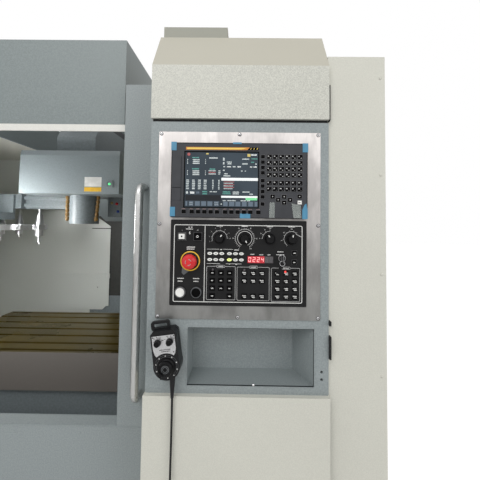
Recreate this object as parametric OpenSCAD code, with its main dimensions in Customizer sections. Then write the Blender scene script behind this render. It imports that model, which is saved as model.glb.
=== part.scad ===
// Vertical machining centre with a fixed operator station, an umbrella tool magazine,
// two sliding doors, a hand wheel pendant and a rear electric cabinet.
// Millimetres. X runs to the operator's right, Y away from the operator, Z up from the floor.
// Heights are above the floor. Depths are behind the front of the operator box.

/* [Enclosure] */
// Width over the two side sheets
machine_w = 2400; // [2300:10:2500]
// Height of the front corner panels
panel_h = 1925; // [1900:5:1960]
// Height of the roof sheets
roof_h = 1880; // [1870:5:1890]
// Height of the gap under the enclosure sheets
skirt_gap = 60; // [40:5:80]
// Thickness of the enclosure sheets
sheet = 3; // [2:0.5:4]
// Gap between two sheets that meet
seam = 0.6; // [0.4:0.1:0.9]
// Depth of the working chamber's rear guard
guard_y = 1300; // [1298:1:1306]
// Depth of the fixed wall behind the doors
wall_y = 173; // [172:1:180]

/* [Header] */
// Left end of the door opening and of the header
opening_x0 = -560; // [-580:5:-550]
// Right end of the door opening and of the header
opening_x1 = 360; // [340:5:365]
// Underside of the header
header_z0 = 1741; // [1730:1:1750]
// Top of the header
header_z1 = 2072; // [2040:1:2100]
// Depth of the header's front face
header_y = 165; // [165:1:168]
// Height of the rail that the doors hang on
rail_h = 24; // [20:1:28]

/* [Doors] */
// Width of one door
door_w = 510; // [490:5:515]
// Height of the door's lower edge
door_z0 = 760; // [740:5:800]
// Height of the door's upper edge
door_z1 = 1891; // [1880:1:1895]
// Depth of the door's outer face
door_y = 125; // [122:1:126]
// Thickness of a door
door_t = 35; // [32:1:35]
// Overlap of a wide open door on the wall beside the opening
door_park = 19; // [15:1:25]
// Height of the window's lower edge
window_z0 = 1013; // [960:5:1060]
// Height of the window's upper edge
window_z1 = 1531; // [1480:1:1560]
// Width of the window
window_w = 370; // [320:5:380]
// Distance from the door's inner edge to its window
window_in = 84; // [80:1:100]
// Diameter of the door handle's tube
handle_d = 25; // [20:1:30]
// Length of the door handle
handle_len = 700; // [500:10:760]
// Height of the door handle's upper end
handle_z1 = 1552; // [1500:1:1600]
// Distance from the door's face to the middle of the handle's tube
handle_off = 50; // [45:1:60]
// Distance from the door's inner edge to the handle
handle_in = 73; // [60:1:75]

/* [Operator box] */
// Middle of the operator box across the machine
box_x = 770; // [760:1:775]
// Width of the operator box
box_w = 520; // [516:1:530]
// Height of the operator box
box_h = 780; // [770:1:800]
// Depth of the operator box
box_d = 112; // [110:1:113]
// Height of the operator box's lower edge
box_z = 940; // [930:1:950]
// Radius of the box's upright edges
box_r = 4; // [2:1:8]
// Width of the shelf recess
shelf_w = 362; // [330:1:370]
// Height of the shelf recess
shelf_h = 163; // [140:1:165]
// Depth of the shelf recess
shelf_d = 103; // [80:1:105]
// Height of the shelf's floor
shelf_z = 962; // [958:1:970]
// Distance from the middle of the box to the middle of the shelf
shelf_in = 38.5; // [20:0.5:45]
// Distance that the shelf's right side leans in towards its back
shelf_splay = 44; // [20:1:50]

/* [Face plate] */
// Width of the stainless face plate
plate_w = 471; // [465:1:480]
// Height of the stainless face plate
plate_h = 540; // [530:1:544]
// Height of the face plate's lower edge
plate_z = 1149; // [1146:1:1152]
// Thickness of the face plate
plate_t = 3; // [2:0.5:4]
// Distance from the plate's edge to its screws
plate_screw_in = 6.5; // [5:0.5:8]
// Diameter of a plate screw's thread
plate_screw_d = 4; // [3:0.5:4.5]

/* [Display unit] */
// Width of the display unit
display_w = 391; // [384:1:398]
// Height of the display unit
display_h = 216; // [212:1:218]
// Height of the display unit's lower edge
display_z = 1438; // [1436:1:1442]
// Thickness of the display unit's front frame
display_t = 11; // [9:1:16]
// Width of the screen
screen_w = 210; // [200:1:214]
// Height of the screen
screen_h = 158; // [150:1:160]
// Distance from the middle of the unit to the middle of the screen
screen_in = 51; // [50:1:52]
// Height of the screen's lower edge above the unit's
screen_up = 31; // [29:1:33]
// Pitch of the small keys on the display unit
key_pitch = 17.6; // [17:0.1:18]

/* [Control panel] */
// Width of the machine control panel
panel_w = 390; // [384:1:396]
// Height of the machine control panel
panel_face_h = 244; // [238:1:245]
// Height of the machine control panel's lower edge
panel_z = 1188; // [1186:1:1190]
// Thickness of the machine control panel's plate
panel_t = 4; // [3:0.5:6]
// Diameter of the emergency stop's head
estop_d = 42; // [38:1:44]
// Distance that the emergency stop's head stands off the panel
estop_off = 33; // [28:1:36]
// Diameter of the selector knobs
knob_d = 30; // [26:1:32]
// Height of the selector knobs
knob_h = 18; // [14:1:22]
// Diameter of the cycle start and feed hold buttons
round_key_d = 25; // [20:1:28]
// Side of the square power buttons
power_key = 20; // [16:1:22]

/* [Hood and duct] */
// Height of the gap between the box and its hood
neck_h = 8; // [6:1:12]
// Distance that the hood stands in front of the box
hood_proud = 8; // [5:1:14]
// Height of the hood's upright front
hood_front_h = 159; // [140:1:170]
// Height of the hood's top
hood_z1 = 2022; // [2000:1:2040]
// Depth of the hood's top front edge
hood_top_y = 72; // [60:1:90]
// Depth of the hood's rear
hood_back_y = 330; // [320:5:360]
// Width of the cable duct on the hood
duct_w = 206; // [160:2:240]
// Depth of the cable duct, front to back
duct_len = 230; // [180:5:240]
// Height of the cable duct
duct_h = 34; // [28:1:45]
// Distance from the hood's left end to the duct
duct_in = 10; // [6:1:20]

/* [Pendant] */
// Width of the pendant's body
pendant_w = 70; // [64:1:76]
// Radius of the pendant's round lower end
pendant_r = 36; // [35:0.5:38]
// Thickness of the pendant's body
pendant_t = 42; // [36:1:48]
// Height of the middle of the pendant's wheel
pendant_z = 1034; // [1030:1:1040]
// Distance from the middle of the box to the pendant's wheel
pendant_in = 189; // [187:1:191]
// Tilt of the hanging pendant
pendant_tilt = 8; // [4:1:10]
// Diameter of the pendant's hand wheel
wheel_d = 46; // [42:1:50]
// Diameter of the pendant's cord
cord_d = 6; // [5:0.5:7]
// Height of the gland that the pendant's cord goes into
gland_z = 560; // [556:1:564]

/* [Machine frame] */
// Distance of the spindle's axis from the middle of the machine
spindle_x = -85; // [-90:1:-80]
// Depth of the spindle's axis
spindle_y = 730; // [725:1:740]
// Height of the bed's guideways
bed_top = 560; // [550:1:570]
// Width of the bed
bed_w = 860; // [840:5:880]
// Depth of the bed's front face
bed_y0 = 250; // [245:1:260]
// Depth of the column's rear face, and of the bed's
column_y1 = 1850; // [1800:5:1900]
// Height of the seat that the column stands on
column_z0 = 700; // [690:5:710]
// Height of the column's top
column_z1 = 2400; // [2380:5:2420]
// Width of the column
column_w = 600; // [590:5:640]
// Depth of the column's front face
column_y0 = 1350; // [1350:1:1356]
// Width of a guide rail
rail_w = 34; // [30:1:40]
// Running gap of a guide block on its rail
rail_gap = 0.3; // [0.2:0.05:0.4]
// Radius of the three ball screws
screw_r = 18; // [16:0.5:20]
// Running gap of a shaft in its bore
bore_gap = 0.05; // [0.02:0.01:0.08]

/* [Table] */
// Length of the table
table_l = 1000; // [960:5:1020]
// Depth of the table
table_d = 520; // [500:5:530]
// Height of the table's top
table_z = 880; // [875:1:890]
// Depth of the middle of the table at rest
table_y = 630; // [625:1:635]
// Number of T-slots
slot_n = 5; // [3:1:5]
// Width of a T-slot
slot_w = 18; // [14:1:18]
// Pitch of the T-slots
slot_pitch = 85; // [80:1:90]
// Height of the saddle's top
saddle_z = 720; // [715:1:724]
// Length of the saddle
saddle_l = 1240; // [1200:5:1260]

/* [Head] */
// Height of the spindle's nose
nose_z = 1410; // [1405:1:1415]
// Radius of the spindle's nose housing
nose_r = 72; // [66:1:74]
// Width of the head casting
head_w = 200; // [190:2:204]
// Height of the head casting's lower face
head_z0 = 1560; // [1556:1:1580]
// Height of the head casting's top
head_z1 = 1950; // [1940:5:1960]
// Width of the sheet cover round the head's front
head_cover_w = 500; // [480:5:504]
// Lower edge of the head's sheet cover
head_cover_z0 = 1560; // [1556:1:1570]
// Upper edge of the head's sheet cover
head_cover_z1 = 1778; // [1760:1:1800]
// Depth of the head cover's front face
head_cover_y = 580; // [570:1:600]
// Radius of the spindle's shaft
spindle_r = 45; // [40:1:48]
// Width of the telescopic cover under the head
z_cover_w = 500; // [480:5:504]
// Exposed height of one telescopic plate at rest
z_cover_step = 183; // [180:1:186]
// Height of the telescopic cover's upper end
z_cover_top = 1425; // [1420:1:1430]

/* [Tool magazine] */
// Radius of the drum
drum_r = 300; // [295:1:300]
// Radius of the circle that the tools hang on
pocket_r = 265; // [262:1:266]
// Number of tool pockets
pocket_n = 16; // [12:2:16]
// Height of the drum's upper face
drum_z = 1400; // [1390:1:1402]
// Thickness of the drum's disc
drum_t = 26; // [20:1:30]
// Travel of the magazine to the spindle
magazine_travel = 300; // [290:1:300]

/* [Rear] */
// Width of the electric cabinet
cabinet_w = 800; // [760:5:810]
// Depth of the electric cabinet
cabinet_d = 400; // [360:5:420]
// Height of the electric cabinet's lower face
cabinet_z0 = 350; // [300:5:400]
// Height of the electric cabinet's top
cabinet_z1 = 1950; // [1900:5:2000]
// Width of the coolant tank
tank_w = 640; // [600:5:650]
// Depth of the coolant tank
tank_d = 560; // [500:5:570]
// Height of the coolant tank's rim
tank_z1 = 480; // [440:5:500]
// Height of the coolant tank's floor, on its castors
tank_z0 = 90; // [80:5:100]

/* [Hidden] */

$fn = 48;
half_w = machine_w / 2;
// Small clearance for pieces that sit on each other without touching
fit = 0.3;

// The pendant's front is the foremost point and the coolant tank's rear the rearmost,
// so the whole machine is set with its middle on the origin.
pendant_back = fit + 2;
wheel_h = 18;
front_most = -(pendant_back + pendant_t + wheel_h + 9);
tank_y0 = guard_y + 30;
rear_most = tank_y0 + tank_d;
face_y = -(front_most + rear_most) / 2;

box_x0 = box_x - box_w / 2;
box_x1 = box_x + box_w / 2;
box_z1 = box_z + box_h;
plate_front = -plate_t;
display_front = plate_front - display_t;
panel_front = plate_front - panel_t;
door_gap = 2;
door_travel = (opening_x1 - opening_x0 + 2 * door_park - door_gap) / 2;
right_door_x0 = opening_x1 + door_park;
left_door_x1 = opening_x0 - door_park;
right_door_x1 = right_door_x0 + door_w;
left_door_x0 = left_door_x1 - door_w;
post_x = left_door_x0 - 6;
rail_z1 = header_z0 + rail_h;
rail_y0 = header_y - 4;
bed_x0 = spindle_x - bed_w / 2;
bed_x1 = spindle_x + bed_w / 2;
y_rail_off = 260;
bed_deck_z = bed_top - 40;
y_screw_z = bed_top - 40;
y_wall_y0 = bed_y0 + 150;
y_wall_y1 = bed_y0 + 178;
x_screw_z = saddle_z + 26;
x_rail_off = 160;
saddle_d = 460;
rail_t = 28;
nut_l = 88;
guide_z = 40;
head_y1 = column_y0 - 44;
z_cover_gap = 2.9;
z_rail_off = 170;
z_screw_y = column_y0 + 25;
cover_y = guard_y - 10;
bracket_y0 = spindle_y + 170;
bracket_z0 = drum_z + 96;
bracket_h = 85;
magazine_x = spindle_x - pocket_r - magazine_travel;
cabinet_x1 = half_w - 20;
cabinet_x0 = cabinet_x1 - cabinet_w;
cabinet_y1 = guard_y + cabinet_d;
tank_gap = 25;
tank_x0 = bed_x0 - tank_gap - tank_w;

// Hand chosen route of the pendant's cord: down from the pendant, round and up, then down
// from the height of its gland and into the lower cover.
cord_route = [[593, -24, 941], [593, -24, 900], [593, -25, 840], [593, -27, 780], [593, -29, 720],
    [593, -31, 660], [594, -33, 600], [594, -35, 540], [595, -37, 480], [596, -39, 420],
    [598, -41, 370], [603, -43, 325], [613, -45, 290], [629, -46, 265], [650, -47, 256],
    [671, -47, 265], [687, -47, 290], [696, -47, 325], [700, -47, 370], [702, -47, 420],
    [703, -47, 470], [703, -47, 510], [703, -45, 534], [703, -39, 551], [703, -31, 559],
    [703, -22, 560], [703, -19, 560]];
cord_gland_x = 703;
lower_front = -15;

module at_face() { translate([0, face_y, 0]) children(); }

// Box between two corners, each axis given as [low, high]
module slab(x, y, z) {
    translate([x[0], y[0], z[0]]) cube([x[1] - x[0], y[1] - y[0], z[1] - z[0]]);
}

// Bars along the three axes
module bar_x(r, x, y, z) { translate([x[0], y, z]) rotate([0, 90, 0]) cylinder(r = r, h = x[1] - x[0]); }
module bar_y(r, x, y, z) { translate([x, y[1], z]) rotate([90, 0, 0]) cylinder(r = r, h = y[1] - y[0]); }
module bar_z(r, x, y, z) { translate([x, y, z[0]]) cylinder(r = r, h = z[1] - z[0]); }

// Flat outline with round corners, on the middle of the origin
module round_rect(w, h, r) {
    square([w - 2 * r, h], center = true);
    square([w, h - 2 * r], center = true);
    for (sx = [-1, 1], sz = [-1, 1]) translate([sx * (w / 2 - r), sz * (h / 2 - r)]) circle(r);
}

// A face outline stood up in the XZ plane, from depth y[0] to y[1]
module stand(x, y, z) {
    translate([x, y[1], z]) rotate([90, 0, 0]) linear_extrude(y[1] - y[0]) children();
}

// Profile given as depth and height points, carried along X
module along_x(x, points) {
    translate([x[0], 0, 0]) rotate([90, 0, 90]) linear_extrude(x[1] - x[0]) polygon(points);
}

// A solid of revolution about an axis that points at the operator
module turn_front(x, y, z) { translate([x, y, z]) rotate([90, 0, 0]) rotate_extrude() children(); }

/* Operator station */

module operator_box() {
    wall = 2;
    shelf_x = box_x + shelf_in;
    shelf_x0 = shelf_x - shelf_w / 2;
    shelf_x1 = shelf_x + shelf_w / 2;
    shelf_z1 = shelf_z + shelf_h;
    color("slategray") at_face() difference() {
        union() {
            difference() {
                stand(box_x, [0, box_d], box_z + box_h / 2) round_rect(box_w, box_h, box_r);
                slab([box_x0 + wall, box_x1 - wall], [wall, box_d - wall], [box_z + wall, box_z1 - wall]);
                stand(box_x, [-1, wall + 1], plate_z + plate_h / 2) square([plate_w - 30, plate_h - 30], center = true);
            }
            translate([0, 0, shelf_z - wall]) linear_extrude(shelf_h + 2 * wall) polygon([
                [shelf_x0 - wall, 1], [shelf_x1 + wall, 1],
                [shelf_x1 + wall - shelf_splay, shelf_d + wall], [shelf_x0 - wall, shelf_d + wall]]);
            slab([box_x0 + 6, box_x1 - 6], [4, box_d - 4], [box_z1 - 1, box_z1 + neck_h]);
        }
        translate([0, 0, shelf_z]) linear_extrude(shelf_h) polygon([
            [shelf_x0, -1], [shelf_x1, -1], [shelf_x1 - shelf_splay, shelf_d], [shelf_x0, shelf_d]]);
        for (dz = [0, 21]) bar_y(2.2, box_x1 - 20, [-1, wall + 1], shelf_z + 22 + dz);
        face_screw_places() bar_y(plate_screw_d / 2 + 0.2, 0, [-1, wall + 1], 0);
    }
}

module face_screw_places() {
    dx = plate_w / 2 - plate_screw_in;
    dz = plate_h / 2 - plate_screw_in;
    for (ix = [-1, 0, 1], iz = [-1, 0, 1]) {
        if (ix != 0 || iz != 0) {
            if (ix != 0 || abs(iz) == 1) translate([box_x + ix * dx, 0, plate_z + plate_h / 2 + iz * dz]) children();
        }
    }
}

module operator_hood() {
    z0 = box_z1 + neck_h;
    z1 = z0 + hood_front_h;
    under = door_z1 + 9;
    back = wall_y - 1;
    t = 2;
    color("beige") at_face() difference() {
        along_x([box_x0, box_x1], [[-hood_proud, z0], [-hood_proud, z1], [hood_top_y, hood_z1],
            [hood_back_y, hood_z1], [hood_back_y, roof_h + fit], [back, roof_h + fit], [back, under],
            [box_d, under], [box_d, z0]]);
        along_x([box_x0 + t, box_x1 - t], [[t - hood_proud, z0 + t], [t - hood_proud, z1 - 1],
            [hood_top_y + 1, hood_z1 - t], [hood_back_y - t, hood_z1 - t], [hood_back_y - t, under + t],
            [box_d - t, under + t], [box_d - t, z0 + t]]);
        slab([box_x0 + 60, box_x1 - 60], [20, 80], [z0 - 1, z0 + t + 1]);
    }
}

module cable_duct() {
    x0 = box_x0 + duct_in;
    t = 2;
    color("darkkhaki") at_face() difference() {
        slab([x0, x0 + duct_w], [hood_top_y, hood_top_y + duct_len], [hood_z1, hood_z1 + duct_h]);
        slab([x0 + t, x0 + duct_w - t], [hood_top_y + t, hood_top_y + duct_len - t], [hood_z1 - 1, hood_z1 + duct_h - t]);
    }
}

module face_plate() {
    color("silver") at_face() difference() {
        stand(box_x, [plate_front, 0], plate_z + plate_h / 2) round_rect(plate_w, plate_h, 3);
        stand(box_x, [plate_front - 1, 1], display_z + display_h / 2) square([display_w - 24, display_h - 24], center = true);
        stand(box_x, [plate_front - 1, 1], panel_z + panel_face_h / 2) square([panel_w - 24, panel_face_h - 24], center = true);
        face_screw_places() bar_y(plate_screw_d / 2 + 0.2, 0, [plate_front - 1, 1], 0);
    }
}

module face_screws() {
    color("gainsboro") at_face() face_screw_places() {
        difference() {
            turn_front(0, plate_front, 0) polygon([[0, 0], [plate_screw_d, 0], [plate_screw_d, 0.8],
                [plate_screw_d * 0.7, 2.2], [0, 2.6]]);
            for (a = [45, 135]) translate([0, plate_front - 2.4, 0]) rotate([0, a, 0]) cube([plate_screw_d, 2, 0.8], center = true);
        }
        bar_y(plate_screw_d / 2, 0, [plate_front, 8], 0);
    }
}

/* Display unit */

screen_x = box_x - screen_in;
screen_z = display_z + screen_up + screen_h / 2;
soft_key_x = screen_x - screen_w / 2;

module display_unit() {
    back_w = display_w - 26;
    back_h = display_h - 26;
    recess = 4;
    color("dimgray") at_face() {
        difference() {
            stand(box_x, [display_front, plate_front], display_z + display_h / 2) round_rect(display_w, display_h, 3);
            stand(screen_x, [display_front - 1, display_front + recess], screen_z) square([screen_w + 6, screen_h + 6], center = true);
            stand(box_x - display_w / 2 + 15.5, [display_front - 1, display_front + 1], display_z + display_h / 2 + 4)
                square([27.4, 126], center = true);
            display_key_places() stand(0, [display_front - 1, display_front + 3], 0) square([$key_w + 0.8, $key_h + 0.8], center = true);
        }
        stand(box_x - display_w / 2 + 15.5, [display_front - 0.6, display_front + 1], display_z + display_h / 2 + 4)
            square([26.4, 125], center = true);
        stand(box_x, [plate_front, 84], display_z + display_h / 2) square([back_w, back_h], center = true);
    }
}

module display_screen() {
    color("midnightblue") at_face()
        stand(screen_x, [display_front + 1.4, display_front + 4], screen_z) square([screen_w + 4, screen_h + 4], center = true);
}

// Places of the keys round the screen, with each key's width and height
module display_key_places() {
    row_z = display_z + 17;
    for (i = [0:11]) {
        group = i < 1 ? 0 : i < 6 ? 1 : i < 11 ? 2 : 3;
        $key_w = 11.5;
        $key_h = 10;
        translate([soft_key_x + i * 18 + group * 5 - 1, 0, row_z]) children();
    }
    for (i = [0:8]) {
        $key_w = 10.5;
        $key_h = 9.5;
        translate([box_x + 67.5, 0, display_z + 41 + i * 15.5 + (i > 0 ? 5 : 0) + (i > 4 ? 7 : 0)]) children();
    }
    for (i = [0:5], j = [0:5]) {
        $key_w = 13.8;
        $key_h = 12.4;
        translate([box_x + 86 + i * key_pitch, 0, display_z + 84 + j * key_pitch + (j > 1 ? 5 : 0)]) children();
    }
    for (p = [[96, 63], [112, 54], [129, 63], [129, 46], [146, 54], [173, 64], [173, 47]]) {
        $key_w = 12;
        $key_h = 11;
        translate([box_x + p[0], 0, display_z + p[1] - 0.5]) children();
    }
}

module display_keys() {
    color("lightgray") at_face() display_key_places()
        stand(0, [display_front - 1.6, display_front + 3], 0) square([$key_w, $key_h], center = true);
}

/* Machine control panel */

panel_knob_z = panel_z + 192;
panel_knob_x = [box_x - 54, box_x + 18, box_x + 90, box_x + 152];
estop_x = box_x - 137;
estop_z = panel_z + 126;
start_x = box_x - 164;
hold_x = box_x - 118.5;
start_z = panel_z + 37.5;
power_on_x = box_x - 162;
power_off_x = box_x - 117;
power_z = panel_z + 196;
lock_x = box_x + 125;
lock_z = panel_z + 137;
stem_r = 5;

module control_panel() {
    back_w = panel_w - 26;
    back_h = panel_face_h - 26;
    color("black") at_face() difference() {
        union() {
            stand(box_x, [panel_front, plate_front], panel_z + panel_face_h / 2) round_rect(panel_w, panel_face_h, 3);
            stand(box_x, [plate_front, 46], panel_z + panel_face_h / 2) square([back_w, back_h], center = true);
            turn_front(estop_x, panel_front, estop_z) polygon([[0, 0], [24, 0], [24, 2], [21, 4], [0, 4]]);
            for (x = [start_x, hold_x]) turn_front(x, panel_front, start_z) polygon([[0, 0], [15, 0], [15, 4], [13.5, 6], [0, 6]]);
            turn_front(lock_x, panel_front, lock_z) polygon([[0, 0], [10, 0], [9, 3], [0, 3]]);
        }
        bar_y(12 + fit, estop_x, [panel_front - 5, panel_front + 16], estop_z);
        for (x = [start_x, hold_x]) bar_y(round_key_d / 2 + fit, x, [panel_front - 7, panel_front + 8], start_z);
        for (x = [power_on_x, power_off_x]) {
            stand(x, [panel_front - 1, panel_front + 8], power_z) square(power_key + 2 * fit, center = true);
        }
        for (x = panel_knob_x) bar_y(stem_r + bore_gap, x, [panel_front - 1, panel_front + 14], panel_knob_z);
        bar_y(stem_r + bore_gap, lock_x, [panel_front - 4, panel_front + 14], lock_z);
        panel_key_places() stand(0, [panel_front - 1, panel_front + 2], 0) square([$key_w + 0.8, $key_h + 0.8], center = true);
        stand(box_x + 63.5, [panel_front - 1, panel_front + 1], panel_z + 132) square([75, 20], center = true);
    }
}

// Places of the small keys on the machine panel, with each key's width and height
module panel_key_places() {
    for (g = [-64, -8], i = [0:2], j = [0:1]) {
        $key_w = 13;
        $key_h = 10.5;
        translate([box_x + g + (i - 1) * 17, 0, panel_z + 131 + j * 17.5]) children();
    }
    for (j = [0:1]) {
        $key_w = 13;
        $key_h = 13;
        translate([box_x + 160.3, 0, panel_z + 126 + j * 26]) children();
    }
    // Three framed groups: middle column, its keys from the top row down, 1 where a key sits
    for (g = [[-48.5, [[1, 1, 1], [1, 1, 1], [1, 1, 1], [1, 0, 1]]],
              [43, [[1, 1, 1], [1, 1, 1], [0, 0, 0], [1, 1, 1]]],
              [136.7, [[1, 1, 1], [1, 1, 1], [1, 1, 1], [1, 1, 1]]]]) {
        for (i = [0:2], j = [0:3]) {
            $key_w = 15;
            $key_h = 13.2;
            if (g[1][j][i] == 1) translate([box_x + g[0] + (i - 1) * 24.8, 0, panel_z + 93.5 - j * 21.7]) children();
        }
    }
}

module panel_keys() {
    color("darkslategray") at_face() panel_key_places()
        stand(0, [panel_front - 2.2, panel_front + 2], 0) square([$key_w, $key_h], center = true);
}

module estop_button() {
    color("red") at_face() {
        turn_front(estop_x, panel_front - 12, estop_z) polygon([[0, 0], [estop_d / 2 - 2, 0], [estop_d / 2, 2],
            [estop_d / 2, 9], [estop_d / 2 - 2, estop_off - 18], [estop_d / 2 - 8, estop_off - 13], [0, estop_off - 12]]);
        bar_y(12, estop_x, [panel_front - 12, panel_front + 8], estop_z);
    }
}

module round_button(x, z) {
    turn_front(x, panel_front, z) polygon([[0, -3], [round_key_d / 2, -3], [round_key_d / 2, 6],
        [round_key_d / 2 - 1, 7], [0, 7.6]]);
}

module start_button() { color("white") at_face() round_button(start_x, start_z); }
module hold_button() { color("black") at_face() round_button(hold_x, start_z); }

module square_button(x, z) {
    stand(x, [panel_front - 6, panel_front + 3], z) square(power_key, center = true);
}

module power_on_button() { color("whitesmoke") at_face() square_button(power_on_x, power_z); }
module power_off_button() { color("black") at_face() square_button(power_off_x, power_z); }

// Selector knob with a grip bar, turned by an angle about its shaft
module knob(x, z, turn) {
    r = knob_d / 2;
    translate([x, panel_front, z]) rotate([0, turn, 0]) {
        turn_front(0, -0.4, 0) polygon([[0, 0], [r, 0], [r, 5], [r * 0.86, 8], [r * 0.8, knob_h - 2], [r * 0.72, knob_h], [0, knob_h]]);
        bar_y(stem_r, 0, [-0.4, 12], 0);
        slab([-1, 1], [-knob_h - 1.4, -knob_h], [0, r * 0.72]);
    }
}

module mode_knob() { color("black") at_face() knob(panel_knob_x[0], panel_knob_z, 36); }
module feed_knob() { color("black") at_face() knob(panel_knob_x[1], panel_knob_z, 155); }
module rapid_knob() { color("black") at_face() knob(panel_knob_x[2], panel_knob_z, -25); }
module spindle_knob() { color("black") at_face() knob(panel_knob_x[3], panel_knob_z, 8); }

module protect_key() {
    color("goldenrod") at_face() {
        bar_y(stem_r, lock_x, [panel_front - 5, panel_front + 12], lock_z);
        stand(lock_x, [panel_front - 16, panel_front - 5], lock_z) square([2.2, 8], center = true);
        difference() {
            stand(lock_x, [panel_front - 34, panel_front - 16], lock_z) square([2.4, 20], center = true);
            bar_x(3, [lock_x - 3, lock_x + 3], panel_front - 29, lock_z);
        }
    }
}

/* Pendant */

pendant_x = box_x - pendant_in;
pendant_front = -(pendant_back + pendant_t);
pendant_knob_x = 16.5;
pendant_knob_z = 66;

// The pendant hangs tilted about the middle of its wheel
module at_pendant() { translate([pendant_x, 0, pendant_z]) rotate([0, -pendant_tilt, 0]) children(); }

module pendant_outline(grow) {
    circle(pendant_r + grow);
    polygon([[-pendant_r - grow + 1, 6], [pendant_r + grow - 1, 6], [pendant_w / 2 + grow, 44], [pendant_w / 2 + grow, 88],
        [pendant_w / 2 - 8, 96 + grow], [8 - pendant_w / 2, 96 + grow], [-pendant_w / 2 - grow, 88],
        [-pendant_w / 2 - grow, 44]]);
}

module pendant_body() {
    loop_z = 96;
    color("black") at_face() at_pendant() {
        difference() {
            stand(0, [pendant_front, -pendant_back], 0) pendant_outline(0);
            bar_y(stem_r + bore_gap, 0, [pendant_front - 1, pendant_front + 20], 0);
            for (s = [-1, 1]) bar_y(3 + bore_gap, s * pendant_knob_x, [pendant_front - 1, pendant_front + 14], pendant_knob_z);
        }
        // Hanging loop
        stand(-10, [-26, -16], loop_z + 9) difference() {
            round_rect(52, 26, 8);
            round_rect(38, 11, 3);
        }
        // Enabling button and cord boot
        translate([-24, -24, -pendant_r - 4]) cylinder(r = 4.5, h = 14);
        translate([7, -24, -pendant_r]) rotate([0, pendant_tilt, 0]) rotate_extrude() polygon([[0, 4], [8, 4], [8, -4],
            [cord_d / 2 + 1.2, -58], [0, -58]]);
        // Hook plate on the box
        slab([-14, 14], [-pendant_back, -0.2], [60, 92]);
    }
}

module pendant_wheel() {
    r = wheel_d / 2;
    color("black") at_face() at_pendant() {
        turn_front(0, pendant_front - 0.4, 0) polygon([[0, 0], [r, 0], [r, 3], [r - 3, 6], [r - 3, wheel_h - 4],
            [r - 5, wheel_h - 1], [r - 12, wheel_h - 3], [0, wheel_h - 3]]);
        bar_y(stem_r, 0, [pendant_front - 0.4, pendant_front + 18], 0);
        bar_y(5, -r * 0.5, [pendant_front - wheel_h - 9, pendant_front - wheel_h + 2], -r * 0.4);
    }
}

module pendant_knob(x, turn) {
    at_pendant() translate([x, pendant_front, pendant_knob_z]) rotate([0, turn, 0]) {
        turn_front(0, -0.4, 0) polygon([[0, 0], [9.5, 0], [9.5, 4], [8, 8], [7.5, 12], [0, 13]]);
        bar_y(3, 0, [-0.4, 12], 0);
        slab([-1.6, 1.6], [-15.4, -12.4], [-7, 9]);
    }
}

module pendant_axis_knob() { color("black") at_face() pendant_knob(-pendant_knob_x, -10); }
module pendant_step_knob() { color("black") at_face() pendant_knob(pendant_knob_x, 40); }

// Tube swept along a list of points
function unit(v) = v / norm(v);
function route_dir(p, i) = unit(p[min(i + 1, len(p) - 1)] - p[max(i - 1, 0)]);
module tube_along(p, r, sides) {
    side = [for (i = [0:len(p) - 1]) unit(cross(route_dir(p, i), [0, 1, 0.02]))];
    up = [for (i = [0:len(p) - 1]) cross(side[i], route_dir(p, i))];
    points = [for (i = [0:len(p) - 1], k = [0:sides - 1])
        p[i] + r * (side[i] * cos(360 * k / sides) + up[i] * sin(360 * k / sides))];
    faces = concat([[for (k = [0:sides - 1]) sides - 1 - k]],
        [[for (k = [0:sides - 1]) (len(p) - 1) * sides + k]],
        [for (i = [0:len(p) - 2], k = [0:sides - 1])
            [i * sides + k, i * sides + (k + 1) % sides, (i + 1) * sides + (k + 1) % sides, (i + 1) * sides + k]]);
    polyhedron(points, faces);
}

module pendant_cord() { color("black") at_face() tube_along(cord_route, cord_d / 2, 8); }

/* Castings */

module bed() {
    trough = 180;
    rib = 40;
    pockets = 4;
    y1 = column_y1;
    z0 = skirt_gap;
    pocket_l = (guard_y - bed_y0 - (pockets + 1) * rib) / pockets;
    color("darkseagreen") at_face() difference() {
        union() {
            slab([bed_x0, bed_x1], [bed_y0, y1], [z0, bed_deck_z]);
            for (s = [-1, 1]) {
                slab([spindle_x + s * y_rail_off - 60, spindle_x + s * y_rail_off + 60], [bed_y0, guard_y - 10], [z0, bed_top]);
                slab([spindle_x + s * y_rail_off - rail_w / 2, spindle_x + s * y_rail_off + rail_w / 2],
                    [bed_y0, guard_y - 10], [bed_top - 1, bed_top + rail_t]);
            }
            slab([bed_x0 + 60, bed_x1 - 60], [guard_y + 10, y1], [z0, column_z0]);
        }
        // Trough for the Y screw, with a notch for its motor in front
        slab([spindle_x - trough / 2, spindle_x + trough / 2], [y_wall_y1, guard_y - 40], [y_screw_z - 90, bed_top]);
        slab([spindle_x - trough / 2, spindle_x + trough / 2], [bed_y0 - 1, y_wall_y0], [y_screw_z - 90, bed_top]);
        bar_y(12 + bore_gap, spindle_x, [y_wall_y0 - 10, y_wall_y1 + 10], y_screw_z);
        bar_y(12 + bore_gap, spindle_x, [guard_y - 50, guard_y - 9], y_screw_z);
        // Cast pockets in the two sides and an arch under the middle
        for (s = [-1, 1], i = [0:pockets - 1]) {
            y = bed_y0 + rib + i * (pocket_l + rib);
            slab([spindle_x + s * bed_w / 2 - 70, spindle_x + s * bed_w / 2 + 70], [y, y + pocket_l], [z0 + 110, z0 + 350]);
        }
        slab([spindle_x - 180, spindle_x + 180], [bed_y0 - 1, y1 + 1], [z0 - 1, z0 + 80]);
    }
}

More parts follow.
